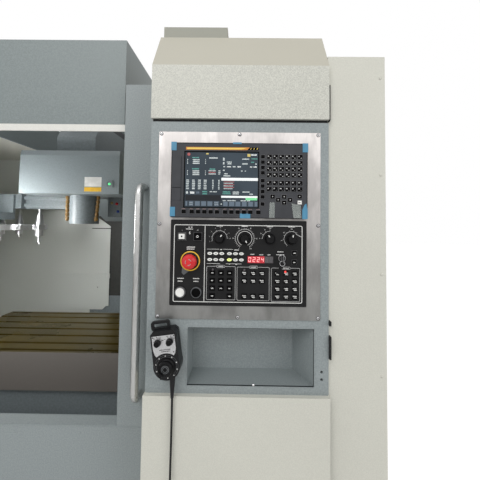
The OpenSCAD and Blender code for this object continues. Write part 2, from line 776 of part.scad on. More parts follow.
module leveling_feet() {
    color("dimgray") at_face() {
        for (s = [-1, 1], y = [bed_y0 + 90, (bed_y0 + column_y1) / 2, column_y1 - 90]) {
            translate([spindle_x + s * (bed_w / 2 - 90), y, 0]) rotate_extrude()
                polygon([[0, 0], [60, 0], [60, 12], [45, 22], [24, 22], [24, skirt_gap], [0, skirt_gap]]);
        }
        // Light feet under the side sheets
        foot_r = 22;
        for (s = [-1, 1], y = [wall_y + 60, guard_y - 60]) {
            translate([s * (half_w - foot_r), y, 0]) rotate_extrude() polygon([[0, 0], [foot_r, 0], [foot_r, 8], [9, 12],
                [9, skirt_gap - 4], [foot_r, skirt_gap - 4], [foot_r, skirt_gap], [0, skirt_gap]]);
        }
    }
}

module column() {
    window = 240;
    back = column_y1;
    x0 = spindle_x - column_w / 2;
    x1 = spindle_x + column_w / 2;
    color("darkseagreen") at_face() {
        difference() {
            union() {
                // Side profile that narrows towards the top
                along_x([x0, x1], [[column_y0, column_z0], [column_y0, column_z1], [back - 180, column_z1],
                    [back, column_z0 + 500], [back, column_z0]]);
                for (s = [-1, 1]) {
                    slab([spindle_x + s * z_rail_off - rail_w / 2, spindle_x + s * z_rail_off + rail_w / 2],
                        [column_y0 - rail_t, column_y0 + 1], [column_z0 + 200, column_z1 - 90]);
                }
            }
            // Channel for the Z screw
            slab([spindle_x - 70, spindle_x + 70], [column_y0 - 1, column_y0 + 75], [column_z0 + 100, column_z1 - 40]);
            bar_z(12 + bore_gap, spindle_x, z_screw_y, [column_z1 - 41, column_z1 + 1]);
            bar_z(12 + bore_gap, spindle_x, z_screw_y, [column_z0 + 60, column_z0 + 101]);
            // Cast pockets in the back and the sides
            for (i = [0:3]) {
                z = column_z0 + 110 + i * (window + 70);
                slab([spindle_x - window / 2, spindle_x + window / 2], [back - 260, back + 1], [z, z + window]);
                for (s = [-1, 1]) {
                    x = spindle_x + s * column_w / 2;
                    slab([x - 50, x + 50], [column_y0 + 110, column_y0 + 110 + window], [z, z + window]);
                }
            }
        }
        // Lowest way cover plate, bolted to two pads on the column's foot
        difference() {
            union() {
                z_plate(0, 3, column_z0, z_cover_top - 2 * z_cover_step - 20);
                for (s = [-1, 1]) {
                    slab([spindle_x + s * 215 - 15, spindle_x + s * 215 + 15], [cover_y + 3 * z_cover_gap + 2, column_y0 + 1],
                        [column_z0, column_z0 + 180]);
                }
            }
            for (s = [-1, 1]) bar_y(4.5, spindle_x + s * 215, [cover_y, cover_y + 30], column_z0 + 60);
        }
    }
}

/* Moving axes */

module saddle() {
    y0 = table_y - saddle_d / 2;
    y1 = table_y + saddle_d / 2;
    z0 = bed_top + guide_z;
    x0 = spindle_x - saddle_l / 2;
    x1 = spindle_x + saddle_l / 2;
    body_x = 390;
    beam_y = x_rail_off + 40;
    color("slategray") at_face() {
        difference() {
            union() {
                // Body over the Y rails, and beams that taper up towards both ends
                slab([spindle_x - body_x, spindle_x + body_x], [y0, y1], [z0, saddle_z]);
                translate([0, table_y + beam_y, 0]) rotate([90, 0, 0]) linear_extrude(2 * beam_y)
                    polygon([[x0, saddle_z], [x0, saddle_z - 60], [spindle_x - body_x, z0 + 20], [spindle_x + body_x, z0 + 20],
                        [x1, saddle_z - 60], [x1, saddle_z]]);
                for (s = [-1, 1]) {
                    slab([x0, x1], [table_y + s * x_rail_off - rail_w / 2, table_y + s * x_rail_off + rail_w / 2], [saddle_z - 1, saddle_z + rail_t]);
                }
                // Guide blocks round the bed's rails
                for (s = [-1, 1], y = [y0, y1 - 110]) {
                    slab([spindle_x + s * y_rail_off - 45, spindle_x + s * y_rail_off + 45], [y, y + 110], [bed_top + 3, z0 + 1]);
                }
                // Nut of the Y screw
                slab([spindle_x - 42, spindle_x + 42], [table_y - nut_l / 2, table_y + nut_l / 2], [y_screw_z - 34, z0 + 1]);
                // Bearings of the X screw
                for (x = [x0, x1 - 24]) slab([x, x + 24], [table_y - 45, table_y + 45], [saddle_z - 1, x_screw_z + 30]);
            }
            for (s = [-1, 1]) {
                slab([spindle_x + s * y_rail_off - rail_w / 2 - rail_gap, spindle_x + s * y_rail_off + rail_w / 2 + rail_gap],
                    [y0 - 1, y1 + 1], [bed_top, bed_top + rail_t + rail_gap]);
            }
            bar_y(screw_r + bore_gap, spindle_x, [table_y - 50, table_y + 50], y_screw_z);
            bar_x(12 + bore_gap, [x0 - 1, x1 + 1], table_y, x_screw_z);
        }
        // X axis motor
        slab([x0 - 40, x0 - seam], [table_y - 60, table_y + 60], [x_screw_z - 60, x_screw_z + 48]);
        bar_x(48, [x0 - 190, x0 - 40], table_y, x_screw_z - 6);
    }
}

module table() {
    x0 = spindle_x - table_l / 2;
    x1 = spindle_x + table_l / 2;
    y0 = table_y - table_d / 2;
    y1 = table_y + table_d / 2;
    slab_z = table_z - 72;
    skirt_z = saddle_z + 4;
    head_h = 12;
    color("darkgoldenrod") at_face() difference() {
        union() {
            slab([x0, x1], [y0, y1], [slab_z, table_z]);
            for (y = [y0, y1 - 20]) slab([x0, x1], [y, y + 20], [skirt_z, slab_z + 1]);
            for (s = [-1, 1], x = [spindle_x - 200, spindle_x + 90]) {
                slab([x, x + 110], [table_y + s * x_rail_off - 45, table_y + s * x_rail_off + 45], [saddle_z + 3, slab_z + 1]);
            }
            slab([spindle_x - nut_l / 2, spindle_x + nut_l / 2], [table_y - 42, table_y + 42], [x_screw_z - 23, slab_z + 1]);
        }
        for (s = [-1, 1]) {
            slab([x0 - 1, x1 + 1], [table_y + s * x_rail_off - rail_w / 2 - rail_gap, table_y + s * x_rail_off + rail_w / 2 + rail_gap],
                [saddle_z, saddle_z + rail_t + rail_gap]);
        }
        bar_x(screw_r + bore_gap, [spindle_x - 50, spindle_x + 50], table_y, x_screw_z);
        // T-slots and the coolant gutters along both edges
        for (i = [0:slot_n - 1]) {
            y = table_y + (i - (slot_n - 1) / 2) * slot_pitch;
            slab([x0 - 1, x1 + 1], [y - slot_w / 2, y + slot_w / 2], [table_z - 30, table_z + 1]);
            slab([x0 - 1, x1 + 1], [y - slot_w * 0.9, y + slot_w * 0.9], [table_z - 30, table_z - 30 + head_h]);
        }
        for (y = [y0 + 14, y1 - 30]) slab([x0 + 20, x1 - 20], [y, y + 16], [table_z - 12, table_z + 1]);
    }
}

module head() {
    x0 = spindle_x - head_w / 2;
    x1 = spindle_x + head_w / 2;
    plate_x = 230;
    nut_z = head_z0 + 90;
    color("slategray") at_face() difference() {
        union() {
            // Arm from the column plate to the spindle, lower in front than behind
            along_x([x0, x1], [[spindle_y - 100, head_z0], [spindle_y - 100, head_z1 - 90], [spindle_y - 40, head_z1],
                [head_y1, head_z1], [head_y1, z_cover_top + 1], [head_y1 - 120, z_cover_top + 1], [spindle_y + 160, head_z0]]);
            bar_z(100, spindle_x, spindle_y, [head_z0, head_z1 - 90]);
            bar_z(nose_r, spindle_x, spindle_y, [nose_z + fit, head_z0 + 1]);
            slab([spindle_x - plate_x, spindle_x + plate_x], [head_y1 - 1, column_y0 - rail_t - 1], [z_cover_top + 1, head_z1]);
            for (s = [-1, 1], z = [z_cover_top + 1, head_z1 - 110]) {
                slab([spindle_x + s * z_rail_off - 45, spindle_x + s * z_rail_off + 45], [column_y0 - rail_t - 2, column_y0 - 3], [z, z + 110]);
            }
            slab([spindle_x - 40, spindle_x + 40], [column_y0 - rail_t - 2, z_screw_y + 34], [nut_z, nut_z + 90]);
        }
        for (s = [-1, 1]) {
            slab([spindle_x + s * z_rail_off - rail_w / 2 - rail_gap, spindle_x + s * z_rail_off + rail_w / 2 + rail_gap],
                [column_y0 - rail_t - rail_gap, column_y0 + 1], [z_cover_top, head_z1 + 1]);
        }
        bar_z(screw_r + bore_gap, spindle_x, z_screw_y, [nut_z - 1, nut_z + 91]);
        bar_z(spindle_r + bore_gap, spindle_x, spindle_y, [nose_z - 1, head_z1 + 1]);
    }
}

module head_cover() {
    x0 = spindle_x - head_cover_w / 2;
    x1 = spindle_x + head_cover_w / 2;
    y1 = spindle_y + 110;
    t = 2;
    color("lightgray") at_face() {
        difference() {
            // Front with a fold that leans back at the top
            along_x([x0, x1], [[head_cover_y, head_cover_z0], [head_cover_y, head_cover_z1 - 26],
                [head_cover_y + 8, head_cover_z1], [y1, head_cover_z1], [y1, head_cover_z0]]);
            slab([x0 + t, x1 - t], [head_cover_y + t + 8, y1 + 1], [head_cover_z0 + t, head_cover_z1 - t]);
            slab([spindle_x - head_w / 2 - fit, spindle_x + head_w / 2 + fit], [spindle_y - 100 - fit, y1 + 1],
                [head_cover_z0 - 1, head_cover_z1 + 1]);
        }
        // Lamp in a square bezel
        difference() {
            stand(x1 - 47, [head_cover_y - 5, head_cover_y + 1], head_cover_z0 + 50) square(34, center = true);
            bar_y(12, x1 - 47, [head_cover_y - 6, head_cover_y - 2], head_cover_z0 + 50);
        }
    }
}

// Spindle with a 7/24 taper that is 44.45 wide at the nose, and its belt pulley
module spindle() {
    taper_d = 44.45;
    taper_l = 65.4;
    bore_r = 13;
    bore_z = nose_z + 95;
    neck_r = spindle_r - 15;
    neck_z = head_z1 - 88;
    top_z = head_z1 + 60;
    small_r = taper_d / 2 - taper_l * 7 / 48;
    color("silver") at_face() translate([spindle_x, spindle_y, 0]) {
        difference() {
            rotate_extrude() polygon([[taper_d / 2, nose_z], [spindle_r, nose_z], [spindle_r, neck_z],
                [neck_r, neck_z], [neck_r, top_z], [0, top_z], [0, bore_z], [bore_r, bore_z],
                [bore_r, nose_z + taper_l], [small_r, nose_z + taper_l]]);
            // Drive key slots in the nose
            for (s = [-1, 1]) slab([s * 34 - 14, s * 34 + 14], [-8, 8], [nose_z - 1, nose_z + 8]);
        }
        difference() {
            bar_z(spindle_r + 15, 0, 0, [head_z1 + 10, top_z]);
            bar_z(neck_r + seam, 0, 0, [head_z1 + 9, top_z + 1]);
        }
    }
}

module spindle_motor() {
    y = spindle_y + 310;
    z0 = head_z1;
    color("dimgray") at_face() {
        // Belt guard over the two pulleys
        difference() {
            slab([spindle_x - 90, spindle_x + 90], [spindle_y - 90, y + 90], [z0, z0 + 90]);
            slab([spindle_x - 80, spindle_x + 80], [spindle_y - 80, y + 80], [z0 - 1, z0 + 80]);
        }
        slab([spindle_x - 105, spindle_x + 105], [y - 105, y + 105], [z0 + 90 + seam, z0 + 330]);
        bar_z(85, spindle_x, y, [z0 + 330 + seam, z0 + 400]);
        slab([spindle_x + 105 + seam, spindle_x + 150], [y - 50, y + 50], [z0 + 180, z0 + 300]);
    }
}

module axis_motors() {
    color("dimgray") at_face() {
        // Y axis motor in the bed's front notch
        slab([spindle_x - 60, spindle_x + 60], [y_wall_y0 - 24, y_wall_y0], [y_screw_z - 60, y_screw_z + 34]);
        bar_y(34, spindle_x, [bed_y0 + 4, y_wall_y0 - 23], y_screw_z);
        // Z axis motor on the column
        slab([spindle_x - 75, spindle_x + 75], [z_screw_y - 75, z_screw_y + 75], [column_z1, column_z1 + 40]);
        bar_z(62, spindle_x, z_screw_y, [column_z1 + 40, column_z1 + 220]);
        slab([spindle_x - 30, spindle_x + 30], [z_screw_y + 50, z_screw_y + 100], [column_z1 + 120, column_z1 + 180]);
    }
}

// Ball screw: thick between its bearings, thin in them
module screw_shape(bore0, bore1, end0, end1) {
    rotate_extrude() polygon([[0, end0], [12, end0], [12, bore0], [screw_r, bore0], [screw_r, bore1], [12, bore1], [12, end1], [0, end1]]);
}

module x_screw() {
    l = saddle_l / 2;
    color("silver") at_face() translate([spindle_x, table_y, x_screw_z]) rotate([0, 90, 0])
        screw_shape(-l + 24 + fit, l - 24 - fit, -l + fit, l);
}

module y_screw() {
    color("silver") at_face() translate([spindle_x, 0, y_screw_z]) rotate([-90, 0, 0])
        screw_shape(y_wall_y1 + fit, guard_y - 40 - fit, y_wall_y0 + fit, guard_y - 12);
}

module z_screw() {
    color("silver") at_face() translate([spindle_x, z_screw_y, 0])
        screw_shape(column_z0 + 100 + fit, column_z1 - 40 - fit, column_z0 + 62, column_z1 - fit);
}

module coolant_hoses() {
    z1 = head_z0;
    color("darkorange") at_face() {
        // Manifold block beside the nose and two jointed hoses that reach down to the tool
        difference() {
            slab([spindle_x + 95, spindle_x + 167], [spindle_y + 70, spindle_y + 108], [z1 - 110, z1 - fit]);
            for (x = [115, 147]) bar_z(7, spindle_x + x, spindle_y + 90, [z1 - 111, z1 - 90]);
        }
        for (x = [84, -84]) {
            for (i = [0:5]) {
                translate([spindle_x + x - sign(x) * i * 1.2, spindle_y - 20 - i * 1.5, z1 - 22.6 * (i + 1)]) rotate_extrude()
                    polygon([[0, 0], [6, 0], [10, 10], [8.5, 22], [0, 22]]);
            }
        }
    }
}

// Telescopic plates under the head, each behind the one above
module z_plate(x_in, level, z0, z1) {
    y = cover_y + level * z_cover_gap;
    slab([spindle_x - z_cover_w / 2 + x_in, spindle_x + z_cover_w / 2 - x_in], [y, y + 2.5], [z0, z1]);
}

module z_cover_upper() {
    z0 = z_cover_top - z_cover_step;
    ear_x = (z_cover_w - head_w) / 4 + head_w / 2 + 4;
    ear_w = (z_cover_w - head_w) / 2 - 8;
    color("gray") at_face() {
        z_plate(0, 0, z0, z_cover_top);
        // Ears beside the head's arm, and the blocks that bolt them to its column plate
        for (s = [-1, 1]) {
            slab([spindle_x + s * ear_x - ear_w / 2, spindle_x + s * ear_x + ear_w / 2], [cover_y, cover_y + 2.5], [z_cover_top - 1, z_cover_top + 40]);
            slab([spindle_x + s * 215 - 14, spindle_x + s * 215 + 14], [cover_y + 2, head_y1 - 1],
                [z_cover_top + 3, z_cover_top + 38]);
        }
    }
}

// The middle and lower plates end below the blocks when the head is at the bottom of its travel
module z_cover_middle() {
    z0 = z_cover_top - 2 * z_cover_step;
    color("gray") at_face() z_plate(0, 1, z0, z_cover_top - z_cover_step + 50);
}

module z_cover_lower() {
    z0 = z_cover_top - 3 * z_cover_step + 2;
    color("gray") at_face() z_plate(0, 2, z0, z_cover_top - 2 * z_cover_step + 105);
}

/* Tool magazine */

module magazine_bracket() {
    x0 = magazine_x - 150;
    x1 = spindle_x - head_w / 2 - 20;
    z1 = bracket_z0 + bracket_h;
    arm_x = spindle_x - column_w / 2;
    color("slategray") at_face() {
        difference() {
            slab([x0, x1], [bracket_y0, bracket_y0 + 90], [bracket_z0, z1]);
            slab([x0 + 12, x1 - 12], [bracket_y0 + 12, bracket_y0 + 91], [bracket_z0 + 12, z1 - 12]);
        }
        for (z = [bracket_z0 + 12, z1 - 30]) slab([x0, x1], [bracket_y0 - 16, bracket_y0 + 1], [z, z + 18]);
        slab([arm_x, arm_x + 44], [bracket_y0 + 80, column_y0], [bracket_z0, z1]);
        slab([arm_x, arm_x + 68], [column_y0 - 16, column_y0], [bracket_z0, z1 + 120]);
    }
}

module magazine_carriage() {
    y0 = bracket_y0 - 16;
    z1 = bracket_z0 + bracket_h;
    color("lightslategray") at_face() translate([magazine_x, 0, 0]) difference() {
        union() {
            slab([-110, 110], [y0 - 22, y0 + 12], [bracket_z0, z1]);
            slab([-75, 75], [spindle_y - 60, y0 - 21], [drum_z + 28, drum_z + 68]);
            bar_z(75, 0, spindle_y, [drum_z + 8, drum_z + 68]);
            slab([-75, 75], [y0 - 38, y0 - 21], [drum_z + 28, z1 - 10]);
            // Drive motor of the drum
            bar_z(34, 0, spindle_y, [drum_z + 68, drum_z + 140]);
        }
        for (z = [bracket_z0 + 12, z1 - 30]) {
            slab([-111, 111], [y0 - rail_gap, y0 + 13], [z - rail_gap, z + 18 + rail_gap]);
        }
        bar_z(25 + bore_gap, 0, spindle_y, [drum_z + 7, drum_z + 50]);
    }
}

// Tool holder with its pull stud up, hung by its flange
module tool_holder(reach) {
    rotate_extrude() polygon([[0, 93], [8, 93], [8, 84], [4, 84], [4, 65], [12.6, 65], [22.2, 0], [31.5, 0], [31.5, -8],
        [26, -11], [26, -15], [31.5, -18], [31.5, -26], [20, -26], [20, -60], [6, -60], [6, -60 - reach], [0, -60 - reach]]);
}

module magazine_drum() {
    z0 = drum_z - drum_t;
    grip_r = 26.4;
    color("darkslategray") at_face() translate([magazine_x, spindle_y, 0]) {
        difference() {
            union() {
                bar_z(drum_r, 0, 0, [z0, drum_z]);
                bar_z(90, 0, 0, [z0 - 40, drum_z + 7.5]);
                bar_z(25, 0, 0, [drum_z, drum_z + 49]);
            }
            for (i = [0:pocket_n - 1]) rotate([0, 0, i * 360 / pocket_n]) {
                translate([pocket_r, 0, z0 - 1]) cylinder(r = 32.3, h = drum_t + 2);
                translate([pocket_r, -24, z0 - 1]) cube([80, 48, drum_t + 2]);
            }
            for (i = [0:7]) rotate([0, 0, i * 45]) translate([155, 0, z0 - 1]) cylinder(r = 34, h = drum_t + 2);
        }
        // Grippers in every pocket and a tool holder in all but the one that faces the spindle
        for (i = [0:pocket_n - 1]) rotate([0, 0, i * 360 / pocket_n]) {
            translate([pocket_r, 0, z0 + 7]) difference() {
                cylinder(r = 32, h = 3.4);
                translate([0, 0, -1]) cylinder(r = grip_r, h = 6);
                translate([0, -22, -1]) cube([60, 44, 6]);
            }
            if (i > 0 && i % 3 > 0) translate([pocket_r, 0, z0 + 21.8]) tool_holder(i % 4 * 18 + 20);
        }
    }
}

/* Doors */

// A double skinned door with a grooved hole for its window and lugs that run on the rail
module door(x0, inner) {
    x1 = x0 + door_w;
    win_x0 = inner > 0 ? x0 + window_in : x1 - window_in - window_w;
    z_mid = (window_z0 + window_z1) / 2;
    win_h = window_z1 - window_z0;
    lug_z = rail_z1 + fit;
    difference() {
        slab([x0, x1], [door_y, door_y + door_t], [door_z0, door_z1]);
        stand(win_x0 + window_w / 2, [door_y - 1, door_y + door_t + 1], z_mid) round_rect(window_w, win_h, 30);
        stand(win_x0 + window_w / 2, [door_y + 20, door_y + 26], z_mid) round_rect(window_w + 20, win_h + 20, 36);
    }
    for (x = [x0 + 60, x1 - 100]) slab([x, x + 40], [door_y + door_t, header_y - fit], [lug_z, lug_z + 24]);
}

module pane(x0, inner) {
    win_x0 = inner > 0 ? x0 + window_in : x0 + door_w - window_in - window_w;
    stand(win_x0 + window_w / 2, [door_y + 20.3, door_y + 25.7], (window_z0 + window_z1) / 2)
        round_rect(window_w + 19, window_z1 - window_z0 + 19, 35.5);
}

// Tubular handle with two round elbows
module handle(x) {
    r = handle_d / 2;
    bend = 30;
    z1 = handle_z1 - r;
    z0 = handle_z1 - handle_len + r;
    y = door_y - handle_off;
    bar_z(r, x, y, [z0 + bend, z1 - bend]);
    for (s = [[z1, z1 - bend, 90], [z0, z0 + bend, 180]]) {
        bar_y(r, x, [y + bend, door_y], s[0]);
        translate([x, y + bend, s[1]]) rotate([90, 0, 90]) rotate([0, 0, s[2]])
            rotate_extrude(angle = 90) translate([bend, 0]) circle(r);
    }
}

module right_door() { color("gray") at_face() door(right_door_x0, 1); }
module left_door() { color("gray") at_face() door(left_door_x0, -1); }
module right_window() { color("lightblue") at_face() pane(right_door_x0, 1); }
module left_window() { color("lightblue") at_face() pane(left_door_x0, -1); }
module right_handle() { color("silver") at_face() handle(right_door_x0 + handle_in); }
module left_handle() { color("silver") at_face() handle(left_door_x1 - handle_in); }

/* Sheet metal enclosure */

module left_enclosure() {
    x0 = -half_w;
    z0 = skirt_gap;
    color("beige") at_face() {
        slab([x0, post_x], [door_y, door_y + sheet], [z0, panel_h]);
        slab([post_x - sheet, post_x], [door_y + sheet + seam, wall_y - seam], [z0, panel_h]);
        slab([x0, x0 + sheet], [door_y + sheet + seam, guard_y], [z0, panel_h]);
        slab([x0 + sheet + seam, opening_x0 - seam], [wall_y, wall_y + sheet], [z0, roof_h]);
        slab([x0 + sheet + seam, opening_x0 - seam], [wall_y + sheet + seam, guard_y], [roof_h - sheet, roof_h]);
    }
}

module right_enclosure() {
    x1 = half_w;
    x_in = box_x1 + 1;
    low_x0 = box_x0 - 2;
    z0 = skirt_gap;
    y0 = 10;
    color("beige") at_face() {
        // Tall corner panel with its returns
        slab([x_in, x1], [y0, y0 + sheet], [z0, panel_h]);
        slab([x_in, x_in + sheet], [y0 + sheet + seam, wall_y - seam], [z0, panel_h]);
        slab([x1 - sheet, x1], [y0 + sheet + seam, guard_y], [z0, panel_h]);
        slab([opening_x1 + seam, x1 - sheet - seam], [wall_y, wall_y + sheet], [z0, roof_h]);
        slab([opening_x1 + seam, x1 - sheet - seam], [wall_y + sheet + seam, guard_y], [roof_h - sheet, roof_h]);
        // Lower cover under the operator box
        difference() {
            slab([low_x0, x_in - seam], [lower_front, lower_front + sheet], [z0, box_z]);
            bar_y(6.2, cord_gland_x, [lower_front - 1, lower_front + sheet + 1], gland_z);
        }
        slab([low_x0, low_x0 + sheet], [lower_front + sheet + seam, box_d], [z0, box_z]);
        slab([low_x0 + sheet + seam, x_in - seam], [lower_front + sheet + seam, box_d], [box_z - sheet, box_z]);
        // Gland of the pendant's cord
        turn_front(cord_gland_x, lower_front + sheet, gland_z) difference() {
            polygon([[0, 0], [6, 0], [6, sheet], [12, sheet], [12, 8], [8, 14], [0, 14]]);
            polygon([[-1, 3], [cord_d / 2 + 0.2, 3], [cord_d / 2 + 0.2, 15], [-1, 15]]);
        }
    }
}

module upper_shroud() {
    color("lightgray") at_face() {
        slab([opening_x0, opening_x1], [header_y, header_y + sheet], [header_z0, header_z1]);
        slab([opening_x0, opening_x1], [header_y + sheet + seam, header_y + 28], [header_z1 - sheet, header_z1]);
        for (x = [opening_x0, opening_x1 - sheet]) {
            slab([x, x + sheet], [header_y + 28 + seam, guard_y - 4], [roof_h + seam, header_z1]);
        }
        for (x = [opening_x0, opening_x1 - 14]) slab([x, x + 14], [header_y + sheet + seam, header_y + 28], [header_z0, header_z1 - sheet - seam]);
    }
}

module door_rail() {
    color("beige") at_face() {
        slab([left_door_x0, right_door_x1], [rail_y0, header_y], [header_z0, rail_z1]);
        for (x = [opening_x0 - 380, opening_x0 - 60, opening_x1 + 30, opening_x1 + 400]) {
            slab([x, x + 30], [header_y, wall_y], [header_z0, rail_z1]);
        }
    }
}

module front_apron() {
    x0 = left_door_x0;
    x1 = box_x0 - 2.6;
    sill_z = door_z0 - fit;
    z0 = skirt_gap + 20;
    color("beige") at_face() {
        slab([x0, x1], [door_y, door_y + sheet], [z0, sill_z - sheet - seam]);
        slab([x0, right_door_x1], [door_y, wall_y - seam], [sill_z - sheet, sill_z]);
        slab([opening_x0, opening_x1], [wall_y, wall_y + sheet], [bed_top - 60, sill_z]);
        for (x = [x0 + 200, opening_x0 + 30, opening_x1 - 60, x1 - 40]) {
            slab([x, x + 30], [door_y + sheet + seam, wall_y - seam], [z0, sill_z - sheet - seam]);
        }
    }
}

module inner_guard() {
    x_in = spindle_x - z_cover_w / 2 - 5;
    x_out = spindle_x + z_cover_w / 2 + 5;
    col_x = spindle_x - column_w / 2;
    notch_z0 = bracket_z0 - 6;
    notch_z1 = bracket_z0 + bracket_h + 6;
    floor_y = [wall_y + sheet + seam, guard_y - sheet - seam];
    x_light = spindle_x - head_w / 2 - 11;
    color("lightgray") at_face() {
        // Rear guard left and right of the column, with a notch for the magazine's bracket
        y = [guard_y - sheet, guard_y];
        z1 = roof_h - sheet - seam;
        slab([-half_w + sheet + seam, bed_x0 - seam], y, [skirt_gap, z1]);
        slab([bed_x0, col_x - 6], y, [bed_deck_z + seam, z1]);
        slab([col_x - 6 + seam, x_in], y, [bed_deck_z + seam, notch_z0]);
        slab([col_x - 6 + seam, x_in], y, [notch_z1, z1]);
        slab([x_out, bed_x1], y, [bed_deck_z + seam, z1]);
        slab([bed_x1 + seam, half_w - sheet - seam], y, [skirt_gap, z1]);
        // Sloping chip floors beside the bed
        for (s = [-1, 1]) {
            x_bed = s < 0 ? bed_x0 - 4 : bed_x1 + 4;
            x_wall = s * (half_w - sheet - seam);
            translate([0, floor_y[1], 0]) rotate([90, 0, 0]) linear_extrude(floor_y[1] - floor_y[0])
                polygon([[x_bed, bed_top - 80], [x_wall, bed_top + 20], [x_wall, bed_top + 20 + sheet], [x_bed, bed_top - 80 + sheet]]);
        }
        // Light guard in front of the column's left side: three plates with a sloping top edge
        translate([0, cover_y - 1, 0]) rotate([90, 0, 0]) linear_extrude(3) {
            polygon([[-600, 1375], [x_light, 1375], [x_light, 1388], [x_light - 110, 1462], [-600, 1462]]);
            polygon([[-600, 1041], [x_light, 1041], [x_light, 1369], [-600, 1369]]);
            polygon([[-600, 778], [x_light - 45, 778], [x_light - 19, 804], [x_light, 804], [x_light, 1005], [-600, 1005]]);
        }
        translate([0, cover_y - 1, 0]) rotate([90, 0, 0]) linear_extrude(9)
            polygon([[-600, 1005.6], [x_light + 4, 1005.6], [x_light + 4, 1040.4], [-600, 1040.4]]);
        for (z = [820, 1100, 1300, 1400]) slab([-560, -520], [cover_y - 1, guard_y - sheet], [z, z + 40]);
    }
}

/* Rear */

module electric_cabinet() {
    x0 = cabinet_x0;
    x1 = cabinet_x1;
    t = 2.5;
    color("whitesmoke") at_face() {
        difference() {
            slab([x0, x1], [guard_y, cabinet_y1], [cabinet_z0, cabinet_z1]);
            slab([x0 + t, x1 - t], [guard_y + t, cabinet_y1 + 1], [cabinet_z0 + t, cabinet_z1 - t]);
        }
        // Mounting plate with drives, contactors and a transformer
        slab([x0 + 40, x1 - 40], [guard_y + t, guard_y + t + 6], [cabinet_z0 + 60, cabinet_z1 - 60]);
        for (i = [0:3]) {
            slab([x0 + 80 + i * 120, x0 + 180 + i * 120], [guard_y + 8.5, guard_y + 200], [cabinet_z1 - 500, cabinet_z1 - 130]);
        }
        for (i = [0:6]) {
            slab([x0 + 80 + i * 70, x0 + 130 + i * 70], [guard_y + 8.5, guard_y + 90], [cabinet_z1 - 720, cabinet_z1 - 620]);
        }
        for (z = [cabinet_z1 - 580, cabinet_z1 - 800, cabinet_z1 - 1020]) {
            slab([x0 + 60, x1 - 60], [guard_y + 8.5, guard_y + 60], [z, z + 40]);
        }
        slab([x0 + 120, x0 + 380], [guard_y + 8.5, guard_y + 190], [cabinet_z0 + 80, cabinet_z0 + 320]);
        slab([x0 + 460, x0 + 640], [guard_y + 8.5, guard_y + 120], [cabinet_z0 + 100, cabinet_z0 + 260]);
        // Hinge pins on leaves that keep clear of the door's corner as it swings
        for (z = [cabinet_z0 + 200, cabinet_z1 - 300]) {
            bar_z(hinge_pin_r, hinge_x, hinge_y, [z - 12, z + 92]);
            for (dz = [-12, 80 + fit]) {
                slab([x1, hinge_x + 7], [cabinet_y1 - 60, cabinet_y1], [z + dz, z + dz + 12 - fit]);
                slab([hinge_x - 5, hinge_x + 7], [cabinet_y1 - 1, hinge_y + 7], [z + dz, z + dz + 12 - fit]);
            }
        }
    }
}

hinge_pin_r = 4;
hinge_x = cabinet_x1 + 9;
hinge_y = cabinet_y1 + 24;

module cabinet_door() {
    x0 = cabinet_x0;
    x1 = cabinet_x1;
    y0 = cabinet_y1 + fit;
    color("whitesmoke") at_face() difference() {
        union() {
            slab([x0, x1], [y0, y0 + 22], [cabinet_z0, cabinet_z1]);
            for (z = [cabinet_z0 + 200, cabinet_z1 - 300]) {
                bar_z(8, hinge_x, hinge_y, [z + fit, z + 80]);
                slab([x1 - 20, hinge_x], [y0 + 20, y0 + 26], [z + fit, z + 80]);
            }
            // Latch handle and louvred fan covers
            slab([x0 + 24, x0 + 52], [y0 + 21, y0 + 40], [cabinet_z0 + 760, cabinet_z0 + 920]);
            for (z = [cabinet_z0 + 180, cabinet_z1 - 320], i = [0:6]) {
                translate([x0 + cabinet_w / 2 - 90, y0 + 22, z + i * 20])
                    rotate([90, 0, 90]) linear_extrude(180) polygon([[-1, 0], [7, 0], [-1, 14]]);
            }
        }
        for (z = [cabinet_z0 + 200, cabinet_z1 - 300]) bar_z(hinge_pin_r + bore_gap, hinge_x, hinge_y, [z, z + 81]);
    }
}

module coolant_tank() {
    x0 = tank_x0;
    x1 = tank_x0 + tank_w;
    y0 = tank_y0;
    y1 = tank_y0 + tank_d;
    t = 3;
    color("slategray") at_face() {
        difference() {
            slab([x0, x1], [y0, y1], [tank_z0, tank_z1]);
            slab([x0 + t, x1 - t], [y0 + t, y1 - t], [tank_z0 + t, tank_z1 + 1]);
        }
        // Lid over the pump's half, and the pump on it
        slab([x0, x0 + tank_w * 0.45], [y0, y1], [tank_z1 + fit, tank_z1 + fit + t]);
        bar_z(70, x0 + 140, y1 - 160, [tank_z1 + fit + t, tank_z1 + 90]);
        bar_z(55, x0 + 140, y1 - 160, [tank_z1 + 90 + seam, tank_z1 + 330]);
        bar_z(24, x0 + 140, y1 - 160, [tank_z0 + 20, tank_z1 - fit]);
        // Castors
        for (x = [x0 + 60, x1 - 60], y = [y0 + 70, y1 - 70]) {
            slab([x - 24, x + 24], [y - 40, y + 40], [tank_z0 - 8, tank_z0]);
            for (s = [-1, 1]) slab([x + s * 18 - 2, x + s * 18 + 2], [y - 18, y + 18], [26, tank_z0 - 7]);
            bar_x(tank_z0 / 2 - 6, [x - 16 + fit, x + 16 - fit], y, tank_z0 / 2 - 6);
        }
    }
}

